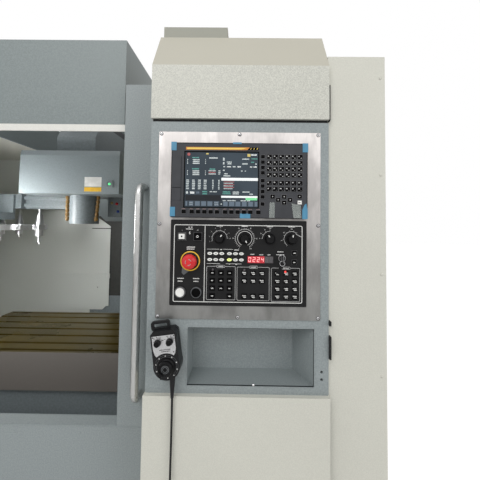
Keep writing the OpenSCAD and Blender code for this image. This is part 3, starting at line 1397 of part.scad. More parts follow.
operator_box();
operator_hood();
cable_duct();
face_plate();
face_screws();
display_unit();
display_screen();
display_keys();
control_panel();
panel_keys();
estop_button();
start_button();
hold_button();
power_on_button();
power_off_button();
mode_knob();
feed_knob();
rapid_knob();
spindle_knob();
protect_key();
pendant_body();
pendant_wheel();
pendant_axis_knob();
pendant_step_knob();
pendant_cord();
bed();
leveling_feet();
column();
saddle();
table();
head();
head_cover();
spindle();
spindle_motor();
axis_motors();
x_screw();
y_screw();
z_screw();
coolant_hoses();
magazine_bracket();
magazine_carriage();
magazine_drum();
z_cover_upper();
z_cover_middle();
z_cover_lower();
right_door();
right_window();
right_handle();
left_door();
left_window();
left_handle();
left_enclosure();
right_enclosure();
upper_shroud();
door_rail();
front_apron();
inner_guard();
electric_cabinet();
cabinet_door();
coolant_tank();
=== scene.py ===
# Materials, small pieces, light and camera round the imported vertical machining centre.
# Lengths in the helpers are millimetres; the scene is in metres, in the frame of the CAD.
import math
import random

import bmesh
import bpy
from mathutils import Matrix, Vector

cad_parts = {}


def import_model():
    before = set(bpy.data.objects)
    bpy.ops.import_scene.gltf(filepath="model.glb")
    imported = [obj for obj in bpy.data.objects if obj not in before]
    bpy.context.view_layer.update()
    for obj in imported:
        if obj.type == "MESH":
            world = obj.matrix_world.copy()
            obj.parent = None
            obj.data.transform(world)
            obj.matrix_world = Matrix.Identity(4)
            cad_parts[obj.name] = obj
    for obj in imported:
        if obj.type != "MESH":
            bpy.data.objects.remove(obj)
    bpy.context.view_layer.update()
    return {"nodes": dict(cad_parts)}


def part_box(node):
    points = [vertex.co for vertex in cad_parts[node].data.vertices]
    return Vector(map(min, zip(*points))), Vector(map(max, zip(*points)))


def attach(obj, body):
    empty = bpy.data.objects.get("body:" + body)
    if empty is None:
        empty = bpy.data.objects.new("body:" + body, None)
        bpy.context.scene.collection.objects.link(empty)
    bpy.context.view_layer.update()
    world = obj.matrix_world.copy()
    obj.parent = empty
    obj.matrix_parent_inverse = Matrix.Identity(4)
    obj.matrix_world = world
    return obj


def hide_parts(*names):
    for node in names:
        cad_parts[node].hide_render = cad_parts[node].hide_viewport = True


MM = 0.001
PHOTO_SIZE = 480

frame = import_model()
nodes = frame["nodes"]

BOX_LOW, BOX_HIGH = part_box("operator_box")
FACE_Y = BOX_LOW.y
BOX_X = (BOX_LOW.x + BOX_HIGH.x) / 2


# Places

def at(x, depth, z):
    """Scene point from millimetres; depth is behind the operator box's face."""
    return Vector((x * MM, FACE_Y + depth * MM, z * MM))


def on_machine(x, z, proud):
    """Scene point a distance before the plane of the box's face, anywhere along the machine."""
    return at(x, -proud, z)


def on_face(u, z, proud):
    """Scene point in front of the box's face, u to the right of its middle."""
    return Vector((BOX_X + u * MM, FACE_Y - proud * MM, z * MM))


class Edges:
    """Edges, middle and size of a CAD node in millimetres; front and back are depths."""

    def __init__(self, name):
        low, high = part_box(name)
        self.left, self.right = low.x / MM, high.x / MM
        self.front, self.back = (low.y - FACE_Y) / MM, (high.y - FACE_Y) / MM
        self.bottom, self.top = low.z / MM, high.z / MM
        self.x, self.z = (self.left + self.right) / 2, (self.bottom + self.top) / 2
        self.w, self.h = self.right - self.left, self.top - self.bottom


# Fronts of the flat things on the operator station, in millimetres before the box's face
PLATE_FRONT = -Edges("face_plate").front
DISPLAY_FRONT = -Edges("display_unit").front
SCREEN_FRONT = -Edges("display_screen").front
DISPLAY_KEY_FRONT = -Edges("display_keys").front
PANEL_KEY_FRONT = -Edges("panel_keys").front
PANEL_FRONT = 7.0


# Outlines in a plane, as lists of (u, z) in millimetres; angles in degrees, 0 up and clockwise

def span(u0, u1, z0, z1):
    return [(u0, z0), (u1, z0), (u1, z1), (u0, z1)]


def rect(u, z, w, h):
    return span(u - w / 2, u + w / 2, z - h / 2, z + h / 2)


def oval(u, z, w, h, sides=20):
    turn = 2 * math.pi / sides
    return [(u + w / 2 * math.cos(i * turn), z + h / 2 * math.sin(i * turn)) for i in range(sides)]


def round_rect(u, z, w, h, r, steps=4):
    points = []
    for corner, (sx, sz) in enumerate([(1, 1), (-1, 1), (-1, -1), (1, -1)]):
        for i in range(steps + 1):
            a = math.radians(90 * (corner + i / steps))
            points.append((u + sx * (w / 2 - r) + r * math.cos(a), z + sz * (h / 2 - r) + r * math.sin(a)))
    return points


def spread(start, end, count):
    """Evenly spaced values from start to end."""
    return [start + (end - start) * i / (count - 1) for i in range(count)]


def polar(u, z, r, angle):
    """Point at a distance r from (u, z)."""
    a = math.radians(angle)
    return u + r * math.sin(a), z + r * math.cos(a)


def turned(points, u, z, angle):
    """Outline turned about (u, z)."""
    c, s = math.cos(math.radians(angle)), math.sin(math.radians(angle))
    return [(u + (x - u) * c + (y - z) * s, z - (x - u) * s + (y - z) * c) for x, y in points]


def tick(u, z, angle, half, r0, r1):
    """A straight mark from radius r0 to r1 about (u, z), half its width to each side."""
    return turned(span(u - half, u + half, z + r0, z + r1), u, z, angle)


# Pieces

def add_object(name, data):
    made = bpy.data.objects.new(name, data)
    bpy.context.scene.collection.objects.link(made)
    return made


class Piece:
    """One mesh object of flat prisms and turned solids, each with a material.

    Distances count towards the operator, from a base in millimetres before the box's face.
    """

    def __init__(self, name, base=0.0, place=on_face):
        self.name = name
        self.base = base
        self.place = place
        self.mesh = bmesh.new()
        self.materials = []

    def ring(self, points, proud):
        return [self.mesh.verts.new(self.place(u, z, self.base + proud)) for u, z in points]

    def paint(self, face, material):
        if material not in self.materials:
            self.materials.append(material)
        face.material_index = self.materials.index(material)

    def fill(self, corners, material):
        face = self.mesh.faces.new(corners)
        self.paint(face, material)
        return face

    def quad(self, a, b, i, j, material):
        """Face between two rings, from their corner i to their corner j."""
        self.fill([a[i], a[j], b[j], b[i]], material)

    def prism(self, points, front, back, material):
        """A flat outline as a solid between two distances."""
        near = self.ring(points, front)
        far = self.ring(points, back)
        self.fill(near, material)
        self.fill(list(reversed(far)), material)
        for i in range(len(points)):
            self.quad(near, far, (i + 1) % len(points), i, material)

    def band(self, outer, inner, front, back, material, closed=True):
        """A strip between two lines of as many points, such as a frame or an arc."""
        outer_near, outer_far = self.ring(outer, front), self.ring(outer, back)
        inner_near, inner_far = self.ring(inner, front), self.ring(inner, back)
        count = len(outer)
        for i in range(count if closed else count - 1):
            j = (i + 1) % count
            self.quad(outer_near, inner_near, i, j, material)
            self.quad(outer_far, inner_far, j, i, material)
            self.quad(outer_near, outer_far, j, i, material)
            self.quad(inner_near, inner_far, i, j, material)
        if not closed:
            for i in (0, -1):
                self.fill([outer_near[i], inner_near[i], inner_far[i], outer_far[i]], material)

    def frame_line(self, u, z, w, h, r, line, front, back, material):
        """A rectangular line with round corners."""
        outer = round_rect(u, z, w, h, r)
        inner = round_rect(u, z, w - 2 * line, h - 2 * line, max(r - line, 0.2))
        self.band(outer, inner, front, back, material)

    def arc(self, u, z, r0, r1, start, end, steps, front, back, material):
        """A flat arc between two radii."""
        outer, inner = ([polar(u, z, r, a) for a in spread(start, end, steps + 1)] for r in (r1, r0))
        self.band(outer, inner, front, back, material, closed=False)

    def turn(self, u, z, profile, material, sides=32):
        """A solid of revolution about the axis towards the operator; profile is (radius, distance)."""
        circles = [oval(u, z, 2 * r, 2 * r, sides) if r else [(u, z)] for r, proud in profile]
        rings = [self.ring(circle, proud) for circle, (r, proud) in zip(circles, profile)]
        for a, b in zip(rings, rings[1:]):
            for i in range(sides):
                j = (i + 1) % sides
                corners = [a[i % len(a)], a[j % len(a)], b[j % len(b)], b[i % len(b)]]
                self.fill(list(dict.fromkeys(corners)), material).smooth = True

    def figures(self, u, z, w, h, front, material, seed):
        """A row of small marks of uneven width, as a line of text looks from afar."""
        marks = random.Random(seed)
        x = u
        while x < u + w - 0.8:
            step = marks.uniform(0.9, 2.1)
            tall = h * marks.uniform(0.75, 1.0)
            self.prism(span(x, min(x + step, u + w), z, z + tall), front, front - 0.12, material)
            x += step + 0.5 * marks.uniform(0.6, 1.4)

    def words(self, text, u, z, size, front, material):
        """Plain figures or letters, on their middle."""
        curve = bpy.data.curves.new("figures", "FONT")
        curve.body = text
        curve.size = size * MM
        curve.resolution_u = 2
        curve.align_x = curve.align_y = "CENTER"
        curve.extrude = 0.05 * MM
        holder = add_object("figures", curve)
        bpy.context.view_layer.update()
        flat = bpy.data.meshes.new_from_object(holder.evaluated_get(bpy.context.evaluated_depsgraph_get()))
        flat.transform(Matrix.Rotation(math.radians(90), 4, "X"))
        flat.transform(Matrix.Translation(self.place(u, z, self.base + front)))
        known = set(self.mesh.faces)
        self.mesh.from_mesh(flat)
        for face in self.mesh.faces:
            if face not in known:
                self.paint(face, material)
        bpy.data.objects.remove(holder)
        bpy.data.curves.remove(curve)
        bpy.data.meshes.remove(flat)

    def done(self, body):
        mesh = bpy.data.meshes.new(self.name)
        bmesh.ops.recalc_face_normals(self.mesh, faces=self.mesh.faces)
        self.mesh.to_mesh(mesh)
        self.mesh.free()
        for material in self.materials:
            mesh.materials.append(material)
        piece = add_object(self.name, mesh)
        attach(piece, body)


# Materials

def grey(value):
    return (value, value, value)


def shade(color, factor):
    return tuple(min(1.0, c * factor) for c in color)


class Look:
    """A material on one Principled shader, with helpers for its procedural inputs."""

    def __init__(self, name, color, roughness, metallic=0.0, specular=0.5):
        self.material = bpy.data.materials.new(name)
        self.material.use_nodes = True
        self.tree = self.material.node_tree
        self.shader = self.tree.nodes["Principled BSDF"]
        self.set("Base Color", (*color, 1.0))
        self.set("Roughness", roughness)
        self.set("Metallic", metallic)
        self.set("Specular IOR Level", specular)

    def set(self, name, value):
        self.shader.inputs[name].default_value = value

    def node(self, kind):
        return self.tree.nodes.new("ShaderNode" + kind)

    def link(self, output, socket):
        self.tree.links.new(output, socket)

    def feed(self, name, value):
        self.link(value, self.shader.inputs[name])

    def noise(self, scale, detail=2.0, stretch=(1.0, 1.0, 1.0)):
        place = self.node("TexCoord")
        mapping = self.node("Mapping")
        mapping.inputs["Scale"].default_value = stretch
        texture = self.node("TexNoise")
        texture.inputs["Scale"].default_value = scale
        texture.inputs["Detail"].default_value = detail
        self.link(place.outputs["Object"], mapping.inputs["Vector"])
        self.link(mapping.outputs["Vector"], texture.inputs["Vector"])
        return texture.outputs["Fac"]

    def ramp(self, value, start, end):
        """Colour ramp between two stops of (position, colour)."""
        node = self.node("ValToRGB")
        for element, (position, color) in zip(node.color_ramp.elements, (start, end)):
            element.position = position
            element.color = (*color, 1.0)
        self.link(value, node.inputs["Fac"])
        return node.outputs["Color"]

    def multiply(self, a, b):
        node = self.node("Mix")
        node.data_type = "RGBA"
        node.blend_type = "MULTIPLY"
        node.inputs["Factor"].default_value = 1.0
        self.link(a, node.inputs["A"])
        self.link(b, node.inputs["B"])
        return node.outputs["Result"]

    def tint(self, value, start, end):
        """Colour that follows a texture."""
        self.feed("Base Color", self.ramp(value, start, end))

    def rough(self, value, low, high, start=0.3, end=0.7):
        """Roughness that follows a texture."""
        self.feed("Roughness", self.ramp(value, (start, grey(low)), (end, grey(high))))

    def bump(self, height, strength, distance):
        node = self.node("Bump")
        node.inputs["Strength"].default_value = strength
        node.inputs["Distance"].default_value = distance
        self.link(height, node.inputs["Height"])
        self.feed("Normal", node.outputs["Normal"])


def paint(name, color, roughness=0.45, grain=260.0, contrast=0.09):
    """Powder coat with a fine orange peel grain and a faint large variation."""
    look = Look(name, color, roughness, specular=0.4)
    fine = look.noise(grain, 3.0)
    grained = look.ramp(fine, (0.36, shade(color, 1 - contrast)), (0.66, shade(color, 1 + contrast)))
    clouds = look.ramp(look.noise(2.2), (0.3, grey(0.95)), (0.7, grey(1.0)))
    look.feed("Base Color", look.multiply(grained, clouds))
    look.rough(fine, roughness - 0.08, roughness + 0.1)
    look.bump(fine, 0.35, 0.0006)
    return look.material


def metal(name, color, roughness, stretch):
    """Metal with fine scratches along one axis."""
    look = Look(name, color, roughness, metallic=1.0)
    lines = look.noise(14.0, 4.0, stretch)
    look.tint(lines, (0.3, shade(color, 0.88)), (0.7, shade(color, 1.12)))
    look.rough(lines, roughness - 0.07, roughness + 0.12)
    look.bump(lines, 0.12, 0.0003)
    return look.material


def moulded(name, color, roughness=0.5, specular=0.35, grain=900.0):
    """Plastic with a fine moulded grain and faint dust."""
    look = Look(name, color, roughness, specular=specular)
    dust = look.noise(35.0, 4.0)
    look.tint(dust, (0.35, shade(color, 0.9)), (0.75, shade(color, 1.15)))
    look.rough(dust, max(0.05, roughness - 0.08), roughness + 0.1)
    look.bump(look.noise(grain), 0.2, 0.0002)
    return look.material


def lit(name, color, strength):
    """A small lamp or a pixel of the screen, or a coloured band given a faint painted glow."""
    look = Look(name, color, 0.4)
    look.tint(look.noise(400.0, 1.0), (0.3, shade(color, 0.92)), (0.7, color))
    look.set("Emission Color", (*color, 1.0))
    look.set("Emission Strength", strength)
    return look.material


def face_plate_metal():
    """Brushed stainless sheet, mottled, with a painted reflection: bright at its top and duller towards its
    foot.
    """
    look = Look("stainless_plate_painted_reflection", (0.78, 0.76, 0.75), 0.38, metallic=0.75)
    low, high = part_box("face_plate")
    place = look.node("TexCoord")
    split = look.node("SeparateXYZ")
    height = look.node("MapRange")
    height.inputs["From Min"].default_value = low.z
    height.inputs["From Max"].default_value = high.z
    look.link(place.outputs["Object"], split.inputs["Vector"])
    look.link(split.outputs["Z"], height.inputs["Value"])
    # Painted reflection: bright at the plate's top, darker towards its foot
    tone = look.ramp(height.outputs["Result"], (0.05, (0.32, 0.32, 0.31)), (0.95, (0.76, 0.72, 0.70)))
    mottle = look.ramp(look.noise(16.0, 6.0, (1.0, 1.0, 0.45)), (0.4, grey(0.7)), (0.6, grey(1.0)))
    lines = look.noise(14.0, 4.0, (60.0, 60.0, 3.0))
    scratched = look.ramp(lines, (0.3, grey(0.9)), (0.7, grey(1.0)))
    look.feed("Base Color", look.multiply(look.multiply(tone, mottle), scratched))
    look.rough(lines, 0.3, 0.5)
    look.bump(lines, 0.1, 0.0003)
    return look.material


def oily_iron():
    """Ground cast iron under a film of amber cutting oil."""
    look = Look("oily_iron", (0.09, 0.07, 0.022), 0.3, metallic=0.35)
    oil = look.noise(5.0, 3.0)
    tone = look.ramp(oil, (0.3, (0.05, 0.038, 0.008)), (0.7, (0.1, 0.072, 0.014)))
    banded = look.ramp(look.noise(9.0, 2.0, (1.0, 6.0, 12.0)), (0.35, grey(0.8)), (0.7, grey(1.0)))
    look.feed("Base Color", look.multiply(tone, banded))
    look.rough(oil, 0.24, 0.4, start=0.35)
    look.bump(oil, 0.05, 0.0005)
    return look.material


def window_pane():
    look = Look("window_pane", (0.85, 0.9, 0.88), 0.06)
    look.rough(look.noise(6.0, 4.0), 0.04, 0.16, start=0.4)
    look.set("Transmission Weight", 0.9)
    look.set("IOR", 1.2)
    return look.material


def screen_glass():
    """Switched-on screen: dark slate with a faint cloudy glow."""
    color = (0.028, 0.038, 0.048)
    look = Look("screen_glass", color, 0.2, specular=0.2)
    tone = look.ramp(look.noise(8.0), (0.3, shade(color, 0.8)), (0.7, shade(color, 1.3)))
    look.feed("Base Color", tone)
    look.feed("Emission Color", tone)
    look.set("Emission Strength", 0.5)
    return look.material


def film(name, color, opacity, roughness):
    look = Look(name, color, roughness)
    wrinkle = look.noise(24.0, 2.0, (3.0, 1.0, 0.6))
    look.tint(wrinkle, (0.3, shade(color, 0.8)), (0.7, color))
    look.set("Alpha", opacity)
    look.bump(wrinkle, 0.1, 0.0005)
    return look.material


GREY_PAINT = paint("grey_paint", (0.29, 0.325, 0.33), 0.42)
CREAM_PAINT = paint("cream_paint", (0.65, 0.645, 0.575), 0.45, grain=400.0, contrast=0.05)
# Painted shade: the duct's paint darkened for its right-hand side face
DUCT_SIDE_SHADED_PAINT = paint("duct_side_painted_shade", (0.19, 0.16, 0.11), 0.55, grain=400.0, contrast=0.03)
HOOD_PAINT = paint("hood_paint", (0.60, 0.60, 0.54), 0.45, grain=380.0, contrast=0.15)
# Painted shade: the hood's paint, darker and yellower, for its top face above the crease
HOOD_TOP_SHADED_PAINT = paint("hood_top_painted_shade", (0.53, 0.51, 0.43), 0.55, grain=400.0, contrast=0.02)
DUCT_PAINT = paint("duct_paint", (0.34, 0.34, 0.29), 0.55, grain=400.0, contrast=0.03)
# Painted shade: the same grey paint darkened for the header, which stands in shade
HEADER_SHADED_PAINT = paint("header_painted_shade", (0.235, 0.27, 0.27), 0.42)
# Painted light: the cream paint brightened for the door rail, which catches more light
RAIL_LIT_PAINT = paint("rail_painted_light", (0.82, 0.81, 0.76), 0.4, contrast=0.03)
LIGHT_GREY_PAINT = paint("light_grey_paint", (0.62, 0.64, 0.6), 0.35, contrast=0.03)
TABLE_FRONT_PAINT = paint("table_front", (0.17, 0.155, 0.14), 0.4, contrast=0.03)
HEAD_PAINT = paint("head_paint", (0.26, 0.3, 0.31), 0.35, contrast=0.05)
CASTING_PAINT = paint("casting_paint", (0.2, 0.23, 0.24), 0.4, grain=120.0)
DARK_PAINT = paint("dark_paint", (0.03, 0.03, 0.033), 0.4)
TANK_PAINT = paint("tank_paint", (0.09, 0.1, 0.105), 0.45)
PLATE_METAL = face_plate_metal()
BRUSHED = metal("brushed_steel", (0.6, 0.6, 0.59), 0.28, (60.0, 60.0, 2.0))
# Painted shade: the steel way cover coloured near black and matt for the shade it stands in
SHADED_WAY_COVER = moulded("way_cover_steel_painted_shade", (0.045, 0.046, 0.042), 0.55, 0.25, grain=300.0)
GROUND = metal("ground_steel", (0.62, 0.62, 0.62), 0.22, (2.0, 30.0, 30.0))
EVEN = (20.0, 20.0, 20.0)
DARK_STEEL = metal("dark_steel", (0.16, 0.16, 0.165), 0.4, EVEN)
ALUMINIUM = metal("aluminium", (0.62, 0.62, 0.63), 0.35, EVEN)
CHROME = metal("screw_chrome", (0.75, 0.75, 0.76), 0.18, EVEN)
BRASS = metal("brass", (0.6, 0.45, 0.2), 0.3, EVEN)
IRON = oily_iron()
GLASS = window_pane()
SCREEN = screen_glass()
BEZEL = moulded("bezel_plastic", (0.05, 0.052, 0.058), 0.5, 0.25)
PANEL_BLACK = moulded("panel_black", (0.014, 0.014, 0.0145), 0.5, 0.15)
KEY_BLACK = moulded("key_black", (0.002, 0.002, 0.0022), 0.4, 0.06)
KEY_EDGE = moulded("key_edge", (0.13, 0.13, 0.135), 0.5)
PRINT_GREY = moulded("print_grey", (0.62, 0.62, 0.61), 0.6, 0.2)
KNOB_BLACK = moulded("knob_black", (0.003, 0.003, 0.0035), 0.42, 0.2)
PENDANT_BLACK = moulded("pendant_black", (0.005, 0.005, 0.006), 0.36, 0.3)
RUBBER = moulded("rubber", (0.012, 0.012, 0.012), 0.7, 0.3)
WHITE_PLASTIC = moulded("white_plastic", (0.82, 0.82, 0.79), 0.4)
RED_PLASTIC = moulded("red_plastic", (0.68, 0.02, 0.025), 0.28, 0.5)
YELLOW_PLASTIC = moulded("yellow_plastic", (0.85, 0.5, 0.03), 0.35, 0.5)
GREY_PLASTIC = moulded("grey_plastic", (0.1, 0.105, 0.11), 0.5)
HOSE_BROWN = moulded("hose_brown", (0.2, 0.11, 0.025), 0.35, 0.5)
BLUE_PLASTIC = moulded("blue_plastic", (0.03, 0.07, 0.35), 0.35, 0.5)
WHITE_INK = moulded("white_ink", (0.78, 0.78, 0.76), 0.6, 0.2)
PINK_INK = moulded("pink_ink", (0.42, 0.3, 0.29), 0.6, 0.2)
BLUE_TAPE = film("blue_tape", (0.085, 0.29, 0.46), 0.96, 0.4)
CLEAR_TAPE = film("clear_tape", (0.55, 0.6, 0.57), 0.3, 0.2)
# Painted light: the yellow and orange bands are no lamps but glow faintly
YELLOW_BAND_PAINTED_GLOW = lit("yellow_band_painted_glow", (0.82, 0.6, 0.12), 0.05)
ORANGE_BAND_PAINTED_GLOW = lit("orange_band_painted_glow", (0.6, 0.22, 0.02), 0.05)
PIXEL_WHITE = lit("pixel_white", (0.55, 0.6, 0.6), 0.35)
PIXEL_BRIGHT = lit("pixel_bright", (0.8, 0.83, 0.83), 0.3)
PIXEL_GREEN = lit("pixel_green", (0.08, 0.28, 0.24), 0.4)
PIXEL_LIME = lit("pixel_lime", (0.16, 0.55, 0.25), 0.45)
PIXEL_RED = lit("pixel_red", (0.35, 0.09, 0.09), 0.4)
PIXEL_YELLOW = lit("pixel_yellow", (0.5, 0.4, 0.12), 0.4)
PIXEL_SLATE = lit("pixel_slate", (0.085, 0.115, 0.15), 0.4)
PIXEL_BLACK = moulded("pixel_black", (0.006, 0.008, 0.012), 0.15)
LAMP_RED = lit("lamp_red", (0.75, 0.05, 0.04), 0.9)
LAMP_DIM = moulded("lamp_dim", (0.09, 0.08, 0.085), 0.3)
LAMP_DARK_RED = lit("lamp_dark_red", (0.42, 0.02, 0.03), 0.45)
LAMP_PINK = lit("lamp_pink", (0.9, 0.35, 0.35), 0.9)
LAMP_LIME = lit("lamp_lime", (0.72, 0.78, 0.25), 0.6)
LAMP_GREEN = lit("lamp_green", (0.1, 0.72, 0.25), 1.2)


# Materials of the CAD nodes

def dress(material, *names):
    for name in names:
        slots = nodes[name].data.materials
        slots.clear()
        slots.append(material)


def dress_region(name, material, chosen):
    """Another material on those faces of a CAD node whose middle, in millimetres, is chosen."""
    mesh = nodes[name].data
    mesh.materials.append(material)
    for polygon in mesh.polygons:
        c = polygon.center
        if chosen(c.x / MM, (c.y - FACE_Y) / MM, c.z / MM):
            polygon.material_index = len(mesh.materials) - 1


HOOD_CREASE_Z = 1884
HOOD_TOP_DEPTH = 200
MANIFOLD_WIDTH = 73

dress(GREY_PAINT, "operator_box", "right_door", "left_door", "front_apron")
# The upper shroud gets the grey paint darkened as painted shade
dress(HEADER_SHADED_PAINT, "upper_shroud")
dress(CREAM_PAINT, "right_enclosure", "left_enclosure", "electric_cabinet", "cabinet_door")
# The door rail gets the cream paint brightened as painted light
dress(RAIL_LIT_PAINT, "door_rail")
dress(HOOD_PAINT, "operator_hood")
# Painted shade on the hood's top face above the crease
dress_region("operator_hood", HOOD_TOP_SHADED_PAINT,
             lambda x, depth, z: z > HOOD_CREASE_Z and depth < HOOD_TOP_DEPTH)
dress(DUCT_PAINT, "cable_duct")
# Painted shade on the duct's right-hand side face
DUCT_RIGHT = Edges("cable_duct").right
dress_region("cable_duct", DUCT_SIDE_SHADED_PAINT, lambda x, depth, z: x > DUCT_RIGHT - 1)
dress(LIGHT_GREY_PAINT, "inner_guard")
dress(HEAD_PAINT, "head_cover")
dress(CASTING_PAINT, "bed", "column", "saddle", "head", "magazine_bracket", "magazine_carriage")
dress(DARK_PAINT, "spindle_motor", "axis_motors")
dress(TANK_PAINT, "coolant_tank")
dress(PLATE_METAL, "face_plate")
dress(BRUSHED, "right_handle", "left_handle")
# The way cover plates carry painted shade
dress(SHADED_WAY_COVER, "z_cover_upper", "z_cover_middle", "z_cover_lower")
dress(GROUND, "spindle", "x_screw", "y_screw", "z_screw")
dress(DARK_STEEL, "leveling_feet", "protect_key")
dress(ALUMINIUM, "magazine_drum")
dress(CHROME, "face_screws")
dress(IRON, "table")
TABLE_FRONT = Edges("table").front
dress_region("table", TABLE_FRONT_PAINT, lambda x, depth, z: depth < TABLE_FRONT + 1)
dress(GLASS, "right_window", "left_window")
dress(SCREEN, "display_screen")
dress(BEZEL, "display_unit")
dress(PANEL_BLACK, "control_panel")
dress(KEY_BLACK, "display_keys", "panel_keys", "hold_button", "power_off_button")
dress(KNOB_BLACK, "mode_knob", "feed_knob", "rapid_knob", "spindle_knob", "pendant_wheel",
      "pendant_axis_knob", "pendant_step_knob")
dress(PENDANT_BLACK, "pendant_body")
dress(RUBBER, "pendant_cord")
dress(WHITE_PLASTIC, "start_button", "power_on_button")
dress(RED_PLASTIC, "estop_button")
dress(HOSE_BROWN, "coolant_hoses")
MANIFOLD_LEFT = Edges("coolant_hoses").right - MANIFOLD_WIDTH
dress_region("coolant_hoses", CASTING_PAINT, lambda x, depth, z: x > MANIFOLD_LEFT)


# Stage, light and camera

WHITE_LIGHT = (1.0, 1.0, 1.0, 1.0)


def stage():
    """Pale floor, white to the camera like the backdrop, with the machine's shadow kept."""
    half = 20.0
    mesh = bpy.data.meshes.new("floor")
    mesh.from_pydata([(x, y, 0) for x, y in span(-half, half, -half, half)], [], [(0, 1, 2, 3)])
    look = Look("floor_pale", (0.86, 0.86, 0.85), 0.7, specular=0.2)
    look.tint(look.noise(1.5, 3.0), (0.3, (0.84, 0.84, 0.83)), (0.7, (0.88, 0.88, 0.87)))
    look.set("Emission Color", WHITE_LIGHT)
    path = look.node("LightPath")
    strength = look.node("Math")
    strength.operation = "MULTIPLY"
    strength.inputs[1].default_value = 0.55
    look.link(path.outputs["Is Camera Ray"], strength.inputs[0])
    look.feed("Emission Strength", strength.outputs["Value"])
    mesh.materials.append(look.material)
    add_object("floor", mesh)


def world(ambient):
    """Soft even light, and plain white where the camera, metal or glass sees past the object."""
    sky = bpy.data.worlds.new("studio")
    bpy.context.scene.world = sky
    sky.use_nodes = True
    tree = sky.node_tree
    soft = tree.nodes["Background"]
    bright = tree.nodes.new("ShaderNodeBackground")
    for background, strength in ((soft, ambient), (bright, 1.0)):
        background.inputs["Color"].default_value = WHITE_LIGHT
        background.inputs["Strength"].default_value = strength
    path = tree.nodes.new("ShaderNodeLightPath")
    seen = path.outputs["Is Camera Ray"]
    for kind in ("Is Glossy Ray", "Is Transmission Ray"):
        either = tree.nodes.new("ShaderNodeMath")
        either.operation = "MAXIMUM"
        tree.links.new(seen, either.inputs[0])
        tree.links.new(path.outputs[kind], either.inputs[1])
        seen = either.outputs["Value"]
    choice = tree.nodes.new("ShaderNodeMixShader")
    tree.links.new(seen, choice.inputs["Fac"])
    tree.links.new(soft.outputs["Background"], choice.inputs[1])
    tree.links.new(bright.outputs["Background"], choice.inputs[2])
    tree.links.new(choice.outputs["Shader"], tree.nodes["World Output"].inputs["Surface"])


def lamp(name, place, target, size, power):
    data = bpy.data.lights.new(name, "AREA")
    data.shape = "DISK"
    data.size = size
    data.energy = power
    light = add_object(name, data)
    light.location = place
    light.rotation_euler = (Vector(target) - Vector(place)).to_track_quat("-Z", "Y").to_euler()


def camera():
    """Found from the corners of the operator box and its hood in the photograph."""
    focal_px = 285.05
    axis_row_px = 212.0
    place = (0.7801, -1.7358, 1.4237)
    yaw, pitch, roll = 0.462, 2.243, 0.71
    data = bpy.data.cameras.new("camera")
    data.sensor_width = 36.0
    data.lens = focal_px / PHOTO_SIZE * data.sensor_width
    data.shift_y = (axis_row_px - PHOTO_SIZE / 2) / PHOTO_SIZE
    data.clip_start = 0.05
    data.clip_end = 100.0
    view = add_object("camera", data)
    matrix = Matrix.Translation(place)
    for angle, axis in ((yaw, "Z"), (90 + pitch, "X"), (roll, "Z")):
        matrix = matrix @ Matrix.Rotation(math.radians(angle), 4, axis)
    view.matrix_world = matrix
    bpy.context.scene.camera = view


# Display unit

SCREEN_U = -156.0
SCREEN_TOP = 1627.0


